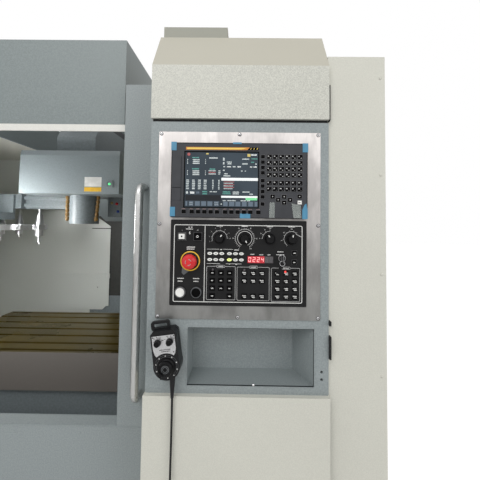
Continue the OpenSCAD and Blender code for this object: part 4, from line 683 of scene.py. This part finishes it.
def screen_picture():
    """Plain figures, bars and soft key boxes on the screen, from its top left corner."""
    piece = Piece("screen_picture", SCREEN_FRONT)
    front = 0.12

    def text(x, y, w, h, seed, material=PIXEL_WHITE):
        piece.figures(SCREEN_U + x, SCREEN_TOP - y - h, w, h, front, material, seed)

    def bar(x, y, w, h, material, proud=0.0):
        outline = span(SCREEN_U + x, SCREEN_U + x + w, SCREEN_TOP - y - h, SCREEN_TOP - y)
        piece.prism(outline, front + proud, 0, material)

    piece.turn(SCREEN_U + 10, SCREEN_TOP - 6.5, [(0, front), (4.6, front), (4.6, 0)], PIXEL_RED, 20)
    bar(60, 2.6, 7, 3.6, PIXEL_YELLOW)
    bar(179, 4, 8.5, 8, PIXEL_YELLOW)
    text(189, 4.5, 18, 4, 1, PIXEL_BRIGHT)
    # Two blocks of axis positions
    for top in (14, 46.5):
        text(20, top, 20, 3.6, top, PIXEL_GREEN)
        for row in range(3):
            y = top + 6 + row * 5.2
            text(6, y, 2.4, 3.6, row)
            text(22, y, 19, 3.8, top + row)
            text(58, y, 2.4, 3.6, row + 3)
    text(69, 14, 25, 4.4, 9)
    text(71, 46.5, 16, 4, 10, PIXEL_GREEN)
    for row in range(3):
        text(68, 52 + row * 4.6, 21, 3, 20 + row, PIXEL_RED if row == 1 else PIXEL_WHITE)
        text(96, 52 + row * 4.6, 6, 3, 30 + row)
    # Feed, speed and program lines on the right
    text(109, 15, 6, 9, 40)
    text(109, 27, 5, 8, 41)
    white = ((164, 17, 20), (120, 26, 14), (164, 31, 16), (122, 31, 12), (202, 31, 5), (110, 39.5, 5),
             (137, 39.5, 9), (109, 50, 5), (161, 51.5, 4), (172, 51.5, 4), (113, 60, 10), (111, 66, 20))
    green = ((191, 16, 17), (190, 26, 9))
    bright = ((121, 39.5, 11), (151, 39.5, 9), (187, 39.5, 6), (197, 39.5, 10))
    for material, lines in ((PIXEL_WHITE, white), (PIXEL_GREEN, green), (PIXEL_BRIGHT, bright)):
        for x, y, w in lines:
            text(x, y, w, 3.6, x + y, material)
    bar(105, 73.5, 105, 8.2, PIXEL_BRIGHT)
    for row in range(6):
        text(112, 84 + row * 3.9, 30 - 4 * (row % 2), 2.4, 50 + row, PIXEL_WHITE if row % 2 else PIXEL_RED)
    # Table of values, six rows
    for row in range(6):
        for column, x in enumerate((4, 21, 38, 54.5, 79, 96)):
            text(x, 79.5 + row * 4.9, 8 if column < 4 else 4, 3.3, 70 + 7 * row + column)
    text(4, 112.5, 6, 8, 130)
    text(16, 113.5, 12, 7, 131, PIXEL_BRIGHT)
    text(33, 113, 9, 7, 132, PIXEL_SLATE)
    text(51, 112, 14, 4, 133, PIXEL_GREEN)
    text(51, 118, 14, 4, 134, PIXEL_GREEN)
    text(72, 112.5, 8, 3, 135)
    text(82, 112.5, 10, 3, 136)
    for x, y, w in ((109, 112.5, 22), (109, 117.5, 24), (138, 112.5, 18), (138, 117.5, 18), (166, 112, 21),
                    (186, 118, 10)):
        text(x, y, w, 3.6, x + y, PIXEL_GREEN if x == 109 else PIXEL_WHITE)
    bar(2, 124, 102, 16, PIXEL_BLACK)
    bar(105, 125.5, 104, 5.6, PIXEL_BRIGHT)
    bar(175, 130.6, 33, 7, PIXEL_LIME, 0.05)
    for x, w in ((110, 9), (123, 24), (161, 16), (179, 9)):
        text(x, 137.5, w, 3, x)
    # Soft key boxes along the foot
    boxes = ((3, 8), (13, 25), (30, 44), (48, 62), (66, 80), (85, 98), (111, 124), (128, 143), (146, 160),
             (165, 178), (183, 196), (201, 209))
    for index, (x0, x1) in enumerate(boxes):
        bar(x0, 142, x1 - x0, 13, PIXEL_SLATE)
        if index in (1, 5):
            text(x0 + 1, 144, x1 - x0 - 2, 3.6, 150 + index, PIXEL_BRIGHT)
            text(x0 + 1, 149, x1 - x0 - 2, 3.6, 160 + index, PIXEL_BRIGHT)
    bar(104, 148, 3, 3, PIXEL_WHITE)
    piece.done("frame")


def display_trim():
    """Bare colour band over the screen, with a faint painted glow, the screen's inner rim and the card
    door's lines.
    """
    piece = Piece("display_trim", DISPLAY_FRONT)
    low, high = 1633.6, 1641.4
    # The band's faint glow is painted light
    piece.prism([(-154, low), (22, low), (30, high), (-154, high)], 0.35, 0, ORANGE_BAND_PAINTED_GLOW)
    yellow = [(-151, low + 1.6), (6, low + 1.6), (22, high - 1.6), (-151, high - 1.6)]
    piece.prism(yellow, 0.5, 0, YELLOW_BAND_PAINTED_GLOW)
    piece.prism([(22, low), (55, low), (55, high), (30, high)], 0.3, 0, KEY_BLACK)
    middle = (low + high) / 2
    for u in (33, 42, 51):
        piece.prism(turned(rect(u, middle, 1.6, 5.5), u, middle, 24), 0.5, 0, YELLOW_BAND_PAINTED_GLOW)
    screen = Edges("display_screen")
    u = screen.x - BOX_X / MM
    outer = rect(u, screen.z, screen.w + 1.6, screen.h + 1.6)
    inner = rect(u, screen.z, screen.w - 4, screen.h - 4)
    piece.band(outer, inner, -0.3, SCREEN_FRONT - DISPLAY_FRONT, KEY_BLACK)
    # Card door: its split, finger dimple and rim
    piece.frame_line(-180, 1550, 27, 125.5, 1.5, 0.8, 0.25, -1, BEZEL)
    piece.prism(span(-193, -167, 1523.2, 1524.4), 0.3, -1, KEY_BLACK)
    piece.prism(span(-167.6, -166.2, 1487, 1613), 0.2, -1, KEY_BLACK)
    # Outer rim of the unit's front frame
    piece.frame_line(0, 1546, 391, 216, 3, 1.2, 0.4, -0.5, KEY_BLACK)
    piece.done("frame")


def display_key_places():
    """Middle, width and height of each key on the display unit, with its group."""
    for u in (-158, -135, -117, -99, -81, -63, -40, -22, -4, 14, 32, 55):
        yield "soft", u, 1454.8, 11.5, 10
    for index in range(9):
        gaps = (5 if index > 0 else 0) + (7 if index > 4 else 0)
        yield "side", 67.5, 1479 + index * 15.5 + gaps, 10.5, 9.5
    for column in range(6):
        for row in range(6):
            yield "value", 86 + column * 17.6, 1522 + row * 17.6 + (5 if row > 1 else 0), 13.8, 12.4
    for u, z in ((96, 63), (112, 54), (129, 63), (129, 46), (146, 54), (173, 64), (173, 47)):
        yield "white" if (u, z) == (173, 47) else "page", u, 1437.5 + z, 12, 11


def display_key_marks():
    """Rims and pale marks on the dark keys, and one white key."""
    piece = Piece("display_key_marks", DISPLAY_KEY_FRONT)
    unit = DISPLAY_FRONT - DISPLAY_KEY_FRONT
    front = 0.1
    for index, (group, u, z, w, h) in enumerate(display_key_places()):
        outer, inner = rect(u, z, w + 2.4, h + 2.4), rect(u, z, w + 0.6, h + 0.6)
        piece.band(outer, inner, unit + 0.5, unit - 1, KEY_EDGE)
        if group == "value":
            piece.figures(u - 4.6, z + 0.2, 4, 3.6, front, PRINT_GREY, 200 + index)
            small = PRINT_GREY if z > 1545 else KEY_EDGE
            piece.figures(u + 1.6, z - 4.2, 3, 2.2, front, small, 300 + index)
        elif group == "soft":
            piece.figures(u - 5, z + 7.6, 10, 1.5, unit + 0.12, PINK_INK, 400 + index)
        elif group == "white":
            piece.prism(rect(u, z, w - 0.6, h - 0.6), front + 0.1, front - 0.2, WHITE_PLASTIC)
            piece.figures(u - 3.5, z - 1.6, 7, 3.4, front + 0.2, KEY_EDGE, 500)
        elif group == "page":
            piece.prism(turned(rect(u, z, 2.6, 2.6), u, z, 45), front, front - 0.12, PRINT_GREY)
    piece.done("frame")


def tapes():
    """Bits of blue and clear tape that hold the display's film."""
    piece = Piece("display_tapes", DISPLAY_FRONT)
    front = 0.7
    for u0, u1, z0, z1 in ((-196.5, -181, 1631, 1656), (181, 197, 1629, 1655), (-197, -182, 1441, 1468),
                           (180.5, 196, 1437.5, 1463), (-19, 6, 1651, 1656), (3, 33, 1437.5, 1451)):
        piece.prism(span(u0, u1, z0, z1), front, front - 0.25, BLUE_TAPE)
    piece.prism([(180.5, 1463), (196, 1463), (192, 1482), (187, 1478)], front, front - 0.25, BLUE_TAPE)
    piece.prism([(86, 1440), (102, 1440), (102.5, 1484), (88, 1484)], front, front - 0.2, CLEAR_TAPE)
    piece.prism([(156, 1440), (178, 1440), (176, 1476), (150, 1482)], front, front - 0.2, CLEAR_TAPE)
    piece.done("frame")


# Machine control panel; places as (u, z) on it

KNOB_U = (-54.0, 18.0, 90.0, 152.0)
KNOB_Z = 1380.0
POWER_ON = (-162, 1384)
POWER_OFF = (-117, 1384)
ESTOP = (-137.0, 1314.0)
LOCK = (125.0, 1325.0)
START_BUTTON_U, HOLD_BUTTON_U, BUTTON_Z = -164.0, -118.5, 1225.5
NUMBER_Z = 1320.0

# Front and back of what is printed on the panel, from its front
INK, INK_BACK = 0.15, -0.1
WHITE_LINE = (INK, INK_BACK, WHITE_INK)


def dial(piece, u, r, start, end, ticks, reach):
    """White arc round a selector with a tick at each of its places."""
    piece.arc(u, KNOB_Z, r - 0.5, r + 0.4, start, end, 36, INK, INK - 0.2, PRINT_GREY)
    for angle in spread(start, end, ticks):
        piece.prism(tick(u, KNOB_Z, angle, 0.35, r, r + reach), INK, INK - 0.2, PRINT_GREY)


def round_labels(piece, u, r, start, end, numbers):
    """Small figures round a selector."""
    for angle, number in zip(spread(start, end, len(numbers)), numbers):
        piece.words(number, *polar(u, KNOB_Z, r, angle), 4.2, INK, WHITE_INK)


def panel_marks():
    """White lines, scales and figures printed on the black panel."""
    piece = Piece("panel_marks", PANEL_FRONT)
    piece.frame_line(-1, 1308, 368, 220, 5, 1.9, *WHITE_LINE)
    piece.prism(span(-97.1, -95.3, 1199, 1417), *WHITE_LINE)
    # Selector dials
    mode, feed, rapid, speed = KNOB_U
    dial(piece, mode, 21.5, -110, 90, 8, 3.5)
    round_labels(piece, mode, 30, -110, 90, "12345678")
    piece.arc(feed, KNOB_Z, 20.0, 21.2, -155, 155, 40, *WHITE_LINE)
    dial(piece, feed, 26.5, -150, 150, 31, 3.2)
    round_labels(piece, feed, 33.5, -150, 150, ("0", "30", "60", "90", "120", "150"))
    dial(piece, rapid, 21.5, -90, 0, 4, 4.0)
    round_labels(piece, rapid, 29.5, -90, 0, ("0", "25", "50", "100"))
    dial(piece, speed, 21.5, -145, 40, 8, 3.0)
    round_labels(piece, speed, 28.5, -100, 0, ("50", "80", "100"))
    u, z = speed + 12, KNOB_Z + 14
    piece.prism(turned(span(u, u + 20, z, z + 1), u, z, 28), *WHITE_LINE)
    for index, u in enumerate(KNOB_U):
        piece.figures(u - 9, KNOB_Z + 33.5, 18, 2.8, INK, WHITE_INK, 600 + index)
    # Power, emergency stop, start and hold
    piece.words("I", POWER_ON[0], 1401, 5, INK, WHITE_INK)
    piece.words("O", POWER_OFF[0], 1402, 5, INK, WHITE_INK)
    legends = ((-151, 1404, 20, 3), (-144, 1409, 5, 3), (-137, 1409, 5, 3), (-148, 1352, 24, 3.4),
               (-148, 1346.5, 22, 3.2), (-173, 1263, 18, 3), (-172, 1255, 14, 3), (-128, 1263, 18, 3),
               (-127, 1255, 14, 3))
    for index, (u, z, w, h) in enumerate(legends):
        piece.figures(u, z, w, h, INK, WHITE_INK, 620 + index)
    bolt = ((0, 10), (2.5, 10), (1, 5), (4, 6), (0.5, 0), (1.2, 4), (-1.5, 3.5))
    piece.prism([(-141 + du, 1388 + dz) for du, dz in bolt], *WHITE_LINE)
    piece.frame_line(POWER_OFF[0], POWER_OFF[1], 25, 24, 2, 0.7, 0.4, INK_BACK, KEY_EDGE)
    piece.frame_line(POWER_ON[0], POWER_ON[1] - 0.5, 25, 24, 2, 0.7, 0.4, INK_BACK, KEY_EDGE)
    # Lines over and under the oval keys
    for u0, u1, z in ((-90, -55, 1348), (-44, -15, 1348), (-90, -52, 1307), (-35, 10, 1307)):
        piece.prism(span(u0, u1, z, z + 0.9), *WHITE_LINE)
    titles = ((-52, 1346.5, 6), (-12, 1345.5, 14), (-27, 1305.5, 5), (-8, 1305, 6), (35, 1334, 12),
              (60, 1333, 12), (84, 1333, 8), (112, 1342, 18), (109, 1334, 22))
    for index, (u, z, w) in enumerate(titles):
        piece.figures(u, z, w, 2.6, INK, WHITE_INK, 640 + index)
    # Three framed groups of keys with a title tab each
    groups = ((-90, -7.3, 1205, 1300, -50), (-3, 89.5, 1204, 1299, 44), (94.4, 176.5, 1202.5, 1297.5, 137))
    for u0, u1, z0, z1, tab in groups:
        piece.frame_line((u0 + u1) / 2, (z0 + z1) / 2, u1 - u0, z1 - z0, 3.5, 0.9, INK, INK_BACK, PRINT_GREY)
        piece.prism(round_rect(tab, z1 - 0.5, 27, 9, 4.4), INK + 0.02, INK_BACK, PANEL_BLACK)
        piece.frame_line(tab, z1 - 0.5, 25, 7.6, 3.7, 0.8, INK + 0.05, INK_BACK, PRINT_GREY)
        piece.figures(tab - 8, z1 - 2, 16, 2.8, INK + 0.05, PRINT_GREY, 660 + tab)
    piece.done("frame")


def panel_key_places():
    """Middle of each key on the panel, with its group."""
    for group in (-64, -8):
        for i in (-1, 0, 1):
            for row in (0, 1):
                yield "oval", group + i * 17, 1319 + row * 17.5
    for row in (0, 1):
        yield "square", 160.3, 1314 + row * 26
    for middle, kept in ((-48.5, "111111111101"), (43.0, "111111000111"), (136.7, "111111111111")):
        for index, keep in enumerate(kept):
            if keep == "1":
                yield "framed", middle + (index % 3 - 1) * 24.8, 1281.5 - index // 3 * 21.7


def panel_key_marks():
    """White ovals on the lamp keys and small marks on the black ones."""
    piece = Piece("panel_key_marks", PANEL_KEY_FRONT)
    panel = PANEL_FRONT - PANEL_KEY_FRONT
    front = 0.1
    for index, (group, u, z) in enumerate(panel_key_places()):
        if group == "oval":
            glowing = abs(u + 25) < 1 and z < 1325
            top = LAMP_LIME if glowing else WHITE_PLASTIC
            piece.prism(oval(u, z, 14.0, 8.5), front + 0.5, front - 0.1, top)
            piece.prism(oval(u, z, 13.2, 8.0), front + 0.8, front + 0.4, top)
            piece.figures(u - 3.4, z - 1.2, 6.6, 2.2, front + 0.85, GREY_PLASTIC, 700 + index)
        elif group == "square":
            piece.figures(u - 3, z - 1.5, 6.5, 3.2, front, WHITE_INK, 720 + index)
            piece.frame_line(u, z, 15, 15, 1, 0.6, panel + 0.5, panel - 0.2, KEY_EDGE)
        elif u < 0:
            piece.figures(u - 3, z - 1.4, 6.4, 2.8, front, WHITE_INK, 740 + index)
        else:
            piece.figures(u - 5.6, z + 0.6, 11, 3.0, front, WHITE_INK, 760 + index)
            piece.figures(u - 2.6, z - 3.8, 8, 3.0, front, WHITE_INK, 800 + index)
    # Small lamps: one lit red over the third group
    for u, z, material in ((134.5, 1286.5, LAMP_RED), (-72, 1290.5, LAMP_DIM), (18, 1290.5, LAMP_DIM)):
        piece.turn(u, z, [(0, 1.8), (2.4, 1.2), (3.2, -0.2), (3.2, panel)], material, 16)
    piece.done("frame")


SEGMENTS = {"0": "abcdef", "2": "abged", "4": "fgbc", "8": "abcdefg"}


def digit_segments(u, z, w, h, line):
    """Outlines of the seven segments of a digit, by letter."""
    left, right, low, high = u - w / 2, u + w / 2, z - h / 2, z + h / 2
    under, over = z - line / 2, z + line / 2
    return {
        "a": span(left, right, high - line, high),
        "b": span(right - line, right, over, high - line),
        "c": span(right - line, right, low + line, under),
        "d": span(left, right, low, low + line),
        "e": span(left, left + line, low + line, under),
        "f": span(left, left + line, over, high - line),
        "g": span(left, right, under, over),
    }


def number_display():
    """Seven segment display: four figures lit red and two dark ones."""
    piece = Piece("number_display", PANEL_FRONT - 0.2)
    low, high = NUMBER_Z - 9.5, NUMBER_Z + 9.5
    piece.prism(span(27, 75, low, high), 0, -0.8, LAMP_DARK_RED)
    piece.prism(span(75.4, 100, low, high), 0, -0.8, LAMP_DIM)
    for index, figure in enumerate("022488"):
        u = 33 + index * 12.2
        chosen = LAMP_PINK if index < 4 else KEY_EDGE
        for letter, outline in digit_segments(u, NUMBER_Z, 7.4, 13.5, 1.7).items():
            if letter in SEGMENTS[figure]:
                piece.prism(turned(outline, u, NUMBER_Z, 6), 0.2, -0.2, chosen)
    piece.done("frame")


def estop_trim():
    """Yellow ring and grey legend plate under the emergency stop, and the arrows on its head."""
    piece = Piece("estop_plate", PANEL_FRONT)
    u, z = ESTOP
    piece.turn(u, z, [(25, 2.2), (28, 2.0), (28, 0.8), (25, 0.8), (25, 2.2)], YELLOW_PLASTIC, 48)
    legend = ((-23, -17), (-24, -34), (-18, -40), (-3, -28.5), (14, -24), (26, -7), (0, 0))
    piece.prism([(u + du, z + dz) for du, dz in legend], 0.8, 0, GREY_PLASTIC)
    piece.turn(u, z, [(24.0, 2.2), (24.9, 2.2), (24.9, 0), (24.0, 0)], KNOB_BLACK, 48)
    piece.done("frame")
    marks = Piece("estop_arrows", PANEL_FRONT + 33.25)
    for angle in (0, 120, 240):
        marks.arc(u, z, 7.2, 9.2, angle, angle + 70, 10, -0.1, -1.4, PINK_INK)
    marks.done("estop")


def plate_screw_rings():
    """Dark washer round the head of each of the face plate's eight screws, and its dark middle."""
    piece = Piece("plate_screw_rings", PLATE_FRONT)
    screws = Edges("face_screws")
    head_r = 4.0
    for ix in (-1, 0, 1):
        for iz in (-1, 0, 1):
            if ix or iz:
                u, z = ix * (screws.w / 2 - head_r), screws.z + iz * (screws.h / 2 - head_r)
                piece.turn(u, z, [(4.1, 0.5), (5.6, 0.4), (5.6, 0)], DARK_STEEL, 20)
                piece.turn(u, z, [(0, 2.75), (1.5, 2.7), (1.5, 1)], KEY_BLACK, 12)
    piece.done("frame")


def key_trim():
    """Bright ring round the lock of the protect key, and the tag that hangs on the key."""
    u, z = LOCK
    ring = Piece("lock_ring", PANEL_FRONT)
    ring.turn(u, z, [(7.2, 2.8), (9.4, 2.6), (10.6, 0.6), (10.6, -0.2), (7.2, -0.2)], ALUMINIUM, 28)
    ring.done("frame")
    tag = Piece("key_tag", PANEL_FRONT + 30)
    tag.band(oval(u - 3, z - 11, 15.2, 15.2), oval(u - 3, z - 11, 12.8, 12.8), 0, -1.2, CHROME)
    tag.prism([(u - 8, z - 15), (u - 1, z - 19), (u - 12, z - 42), (u - 20, z - 37)], -1.5, -4, KNOB_BLACK)
    tag.done("key")


def button_rims():
    """Bright rims round the start and hold buttons, and the power buttons' marks."""
    piece = Piece("button_rims", PANEL_FRONT)
    rim = [(12.9, 6.1), (13.3, 6.7), (14.6, 6.1), (15.6, 4.0), (15.6, 0), (12.9, 0)]
    piece.turn(START_BUTTON_U, BUTTON_Z, rim, KEY_EDGE, 40)
    piece.turn(HOLD_BUTTON_U, BUTTON_Z, rim, GREY_PLASTIC, 40)
    piece.done("frame")
    on_mark = Piece("power_on_mark", PANEL_FRONT)
    on_mark.turn(*POWER_ON, [(0, 6.2), (2.4, 6.2), (2.4, 5.9)], KEY_BLACK, 20)
    button = Edges("power_on_button")
    inner = rect(*POWER_ON, button.w - 3, button.h - 4.6)
    on_mark.band(rect(*POWER_ON, button.w, button.h), inner, 6.25, 5.9, KEY_BLACK)
    on_mark.done("power_on")
    off_mark = Piece("power_off_mark", PANEL_FRONT)
    off_mark.turn(*POWER_OFF, [(2.2, 6.2), (3.4, 6.2), (3.4, 5.9), (2.2, 5.9)], WHITE_INK, 24)
    off_mark.done("power_off")


def knob_pointers():
    """White pointers on the four selectors, each at its knob's present place, and their grip ridges."""
    for u, angle, body in zip(KNOB_U, (36, 155, -25, 8),
                              ("mode_selector", "feed_selector", "rapid_selector", "spindle_selector")):
        piece = Piece(body + "_pointer", PANEL_FRONT)
        piece.prism(tick(u, KNOB_Z, angle, 1.5, 6, 12.2), 19.6, 18, WHITE_INK)
        for i in range(16):
            piece.prism(tick(u, KNOB_Z, angle + i * 22.5 + 11, 0.8, 13.9, 15.3), 5.2, 0.8, KNOB_BLACK)
        piece.done(body)


# Pendant

PENDANT_TILT = 8.0
PENDANT_Z = 1034.0
PENDANT_U = -189.0
PENDANT_FRONT = 44.3
PENDANT_KNOB_Z = 66
DOT_RING_R = 29.2


def on_pendant(x, z, proud):
    """Point on the hanging pendant, from the middle of its wheel, turned with its tilt."""
    u, v = turned([(x, z)], 0, 0, -PENDANT_TILT)[0]
    return on_face(PENDANT_U + u, PENDANT_Z + v, proud)


def pendant_face():
    """Silver plate with an arched foot, the dial's ring of dots and the seam of the housing."""
    piece = Piece("pendant_face", PENDANT_FRONT, on_pendant)
    front, print_front = 0.5, 0.6
    arch = [polar(0, -1.5, 38, angle) for angle in range(-38, 39, 4)]
    outline = [(-31, 84), (-31, 47), (-27.5, 34)] + arch + [(27.5, 34), (31, 47), (31, 84)]
    piece.prism(list(reversed(outline)), front, -0.2, ALUMINIUM)
    for x, z in ((-28.5, 81), (28.5, 81), (24, 38)):
        piece.turn(x, z, [(0, front + 0.6), (1.5, front + 0.5), (1.5, front)], KEY_BLACK, 12)
    for knob_x, reach, ticks in ((-16.5, 70, 5), (16.5, 60, 4)):
        for i, angle in enumerate(spread(-reach, reach, ticks)):
            piece.prism(tick(knob_x, PENDANT_KNOB_Z, angle, 0.4, 10.5, 13), print_front, 0.4, KEY_BLACK)
            x, z = polar(knob_x, PENDANT_KNOB_Z, 15.5, angle)
            piece.figures(x - 1.6, z - 1, 3.2, 2.2, print_front, KEY_BLACK, 900 + i)
    piece.figures(-14, 45, 30, 2.4, print_front, KEY_BLACK, 920)
    piece.figures(-10, 40.5, 24, 2.4, print_front, KEY_BLACK, 921)
    # Two thin circles round the hand wheel, and the dots between them
    for r in (27.0, 31.5):
        piece.arc(0, 0, r - 0.3, r + 0.3, -110, 140, 44, 0.35, -0.2, GREY_PLASTIC)
    for i in range(10):
        piece.turn(*polar(0, 0, DOT_RING_R, i * 36), [(0, 0.5), (1.5, 0.4), (1.5, -0.2)], WHITE_INK, 12)
    # Seam between the two shells of the housing
    flank = [(34.2, 30), (35.6, 45), (35.6, 88), (28, 96.6)]
    shell = flank + [(-x, z) for x, z in reversed(flank)]
    outer, inner = ([(x * s, z if z < 90 else z - 0.6 + 0.6 * s) for x, z in shell] for s in (1.004, 0.97))
    piece.band(outer, inner, 17 - PENDANT_FRONT, 15.6 - PENDANT_FRONT, RUBBER, closed=False)
    piece.done("frame")


def pendant_wheel_face():
    """Turned grooves on the hand wheel, and the ribs round its rim."""
    piece = Piece("wheel_face", PENDANT_FRONT, on_pendant)
    for r in (6.0, 9.5):
        piece.turn(0, 0, [(r - 0.5, 15.6), (r + 0.5, 15.9), (r + 1.2, 15.4)], GREY_PLASTIC)
    for i in range(24):
        piece.prism(tick(0, 0, i * 15, 0.7, 22.0, 23.6), 5.6, 1.2, KNOB_BLACK)
    piece.done("hand_wheel")


CORD_ROUTE = [
    (593, -24, 941), (593, -24, 900), (593, -25, 840), (593, -27, 780), (593, -29, 720),
    (593, -31, 660), (594, -33, 600), (594, -35, 540), (595, -37, 480), (596, -39, 420),
    (598, -41, 370), (603, -43, 325), (613, -45, 290), (629, -46, 265), (650, -47, 256),
    (671, -47, 265), (687, -47, 290), (696, -47, 325), (700, -47, 370), (702, -47, 420),
    (703, -47, 470), (703, -47, 510), (703, -45, 534), (703, -39, 551), (703, -31, 559),
    (703, -22, 560), (703, -19, 560),
]
CORD_DIAMETER = 0.006


def pendant_cord():
    """Black cord from the pendant's boot, in one loop, up to the gland in the lower cover."""
    points = [at(*p) for p in CORD_ROUTE]
    curve = bpy.data.curves.new("pendant_cable", "CURVE")
    curve.dimensions = "3D"
    spline = curve.splines.new("POLY")
    spline.points.add(len(points) - 1)
    for knot, point in zip(spline.points, points):
        knot.co = (*point, 1.0)
    curve.bevel_depth = CORD_DIAMETER / 2
    curve.bevel_resolution = 4
    curve.use_fill_caps = True
    curve.materials.append(RUBBER)
    cord = add_object("pendant_cable", curve)
    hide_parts("pendant_cord")
    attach(cord, "frame")


# Sheet metal and doors

def screw_rows():
    """Pan head screws along the sheets' edges, and on the light guard."""
    piece = Piece("sheet_screws", place=on_machine)
    rows = []
    for z in range(120, 1900, 290):
        rows += [(1186, z, -10, CREAM_PAINT), (-1186, z, -125, CREAM_PAINT), (-1110, z, -125, CREAM_PAINT)]
    for x in range(-1000, 480, 210):
        rows += [(x, 735, -125, GREY_PAINT), (x, 75, -125, GREY_PAINT)]
    for x, z in ((205, 1000), (-240, 1015), (-280, 940)):
        rows += [(x, z, -1286, CHROME)]
    for x, z, sheet, material in rows:
        profile = [(0, sheet + 2.4), (3.2, sheet + 1.9), (4.6, sheet + 0.3), (4.6, sheet - 0.2)]
        piece.turn(x, z, profile, material, 14)
    piece.done("frame")


def hood_seal_and_gap_shade():
    """Black seal in the gap under the hood, the latch on the box's right flank, and a black strip of painted
    shade up the gap at the hood's right side.
    """
    piece = Piece("hood_seal_and_gap_shade", place=on_machine)
    piece.prism(span(514, 1026, 1720.4, 1727.6), -1.5, -8, RUBBER)
    for z0, z1 in ((1043, 1106), (1136, 1148)):
        piece.prism(span(1030.2, 1035.5, z0, z1), 9, -6, RUBBER)
    # Painted shade: a black strip standing for the dark gap up the hood's right side
    piece.prism(span(1030.2, 1034.2, 1725, 1832), 4, -8, RUBBER)
    piece.done("frame")


def shelf_lip():
    """Rolled edge round the mouth of the shelf recess."""
    piece = Piece("shelf_edge")
    u0, u1, z0, z1 = -142.5, 219.5, 962.0, 1125.0
    middle = ((u0 + u1) / 2, (z0 + z1) / 2)
    w, h = u1 - u0, z1 - z0
    inner = round_rect(*middle, w - 0.6, h - 0.6, 0.5)
    piece.band(round_rect(*middle, w + 5, h + 5, 2.5), inner, 0.9, -0.4, GREY_PAINT)
    # Dark seams behind the mouth's top and right edges, and along its sill
    for seam in (span(u0 + 1, u1 - 1, z1 - 2.2, z1 - 0.4), span(u1 - 2.2, u1 - 0.4, z0 + 1, z1 - 2.2),
                 span(u0 + 1, u1 - 2.2, z0 + 0.4, z0 + 1.6)):
        piece.prism(seam, -2, -4, KEY_BLACK)
    # A screw in the sill and two small holes beside the mouth
    piece.turn(47, 966, [(0, 3.0), (3, 2.4), (4.0, 0.6), (4.0, -0.2)], CHROME, 16)
    for z in (984, 1005):
        piece.turn(240.3, z, [(2.6, 0.35), (3.6, 0.2), (3.6, -0.3), (2.6, -0.3)], KEY_BLACK, 16)
    piece.done("frame")


def window_gaskets():
    """Black rubber profile inside each door's window, and a painted one outside."""
    for side in ("right", "left"):
        window = Edges(side + "_window")
        w, h = window.w - 19, window.h - 19
        piece = Piece(side + "_gasket", place=on_machine)
        outer = round_rect(window.x, window.z, w + 16, h + 16, 36, 8)
        inner = round_rect(window.x, window.z, w - 14, h - 14, 22, 8)
        piece.band(outer, inner, -124.0, -125.5, GREY_PAINT)
        piece.band(outer, inner, -151.0, -161.0, RUBBER)
        piece.done(side + "_door_unit")


def head_lamp():
    """Green lamp in its bezel, a bare white plate and a bare yellow band on the head's cover."""
    cover = Edges("head_cover")
    x, z = cover.right - 47, cover.bottom + 50
    piece = Piece("head_lamp", -cover.front - 5, on_machine)
    piece.turn(x, z, [(0, 4.2), (4, 3.6), (7, 1.5), (7.6, -1)], LAMP_GREEN, 24)
    piece.frame_line(x, z, 30, 30, 4, 5, 0.8, -0.5, GREY_PLASTIC)
    piece.prism(span(x - 125, x - 40, z - 14, z + 34), 1, -0.5, WHITE_PLASTIC)
    piece.prism(span(x - 125, x - 40, z - 38, z - 17), 1, -0.5, YELLOW_PLASTIC)
    piece.done("head_unit")


def manifold_fittings():
    """Bare red, blue and brass fittings on the manifold's front."""
    hoses = Edges("coolant_hoses")
    piece = Piece("manifold_fittings", 38 - hoses.back, on_machine)
    for dx, dz, material in ((-22, -34, RED_PLASTIC), (-14, -78, BLUE_PLASTIC), (-50, -30, BRASS)):
        profile = [(0, 9), (5, 8), (5.5, 3), (8, 2.6), (8, -0.5)]
        piece.turn(hoses.right + dx, hoses.top + dz, profile, material, 16)
    piece.done("head_unit")


for build in (
    screen_picture, display_trim, display_key_marks, tapes, panel_marks, panel_key_marks, number_display,
    estop_trim, plate_screw_rings, key_trim, button_rims, knob_pointers, pendant_face, pendant_wheel_face,
    pendant_cord, screw_rows, hood_seal_and_gap_shade, shelf_lip, window_gaskets, head_lamp, manifold_fittings, stage,
):
    build()
world(0.5)
lamp("key", (-0.6, -4.2, 4.2), (0.6, -0.6, 1.3), 3.0, 80.0)
lamp("fill", (3.6, -3.6, 2.6), (0.7, -0.6, 1.2), 3.0, 36.0)
lamp("work", (-0.5, -0.5, 1.4), (0.2, 0.45, 1.15), 0.3, 7.0)
camera()
bpy.context.scene.view_settings.view_transform = "Standard"
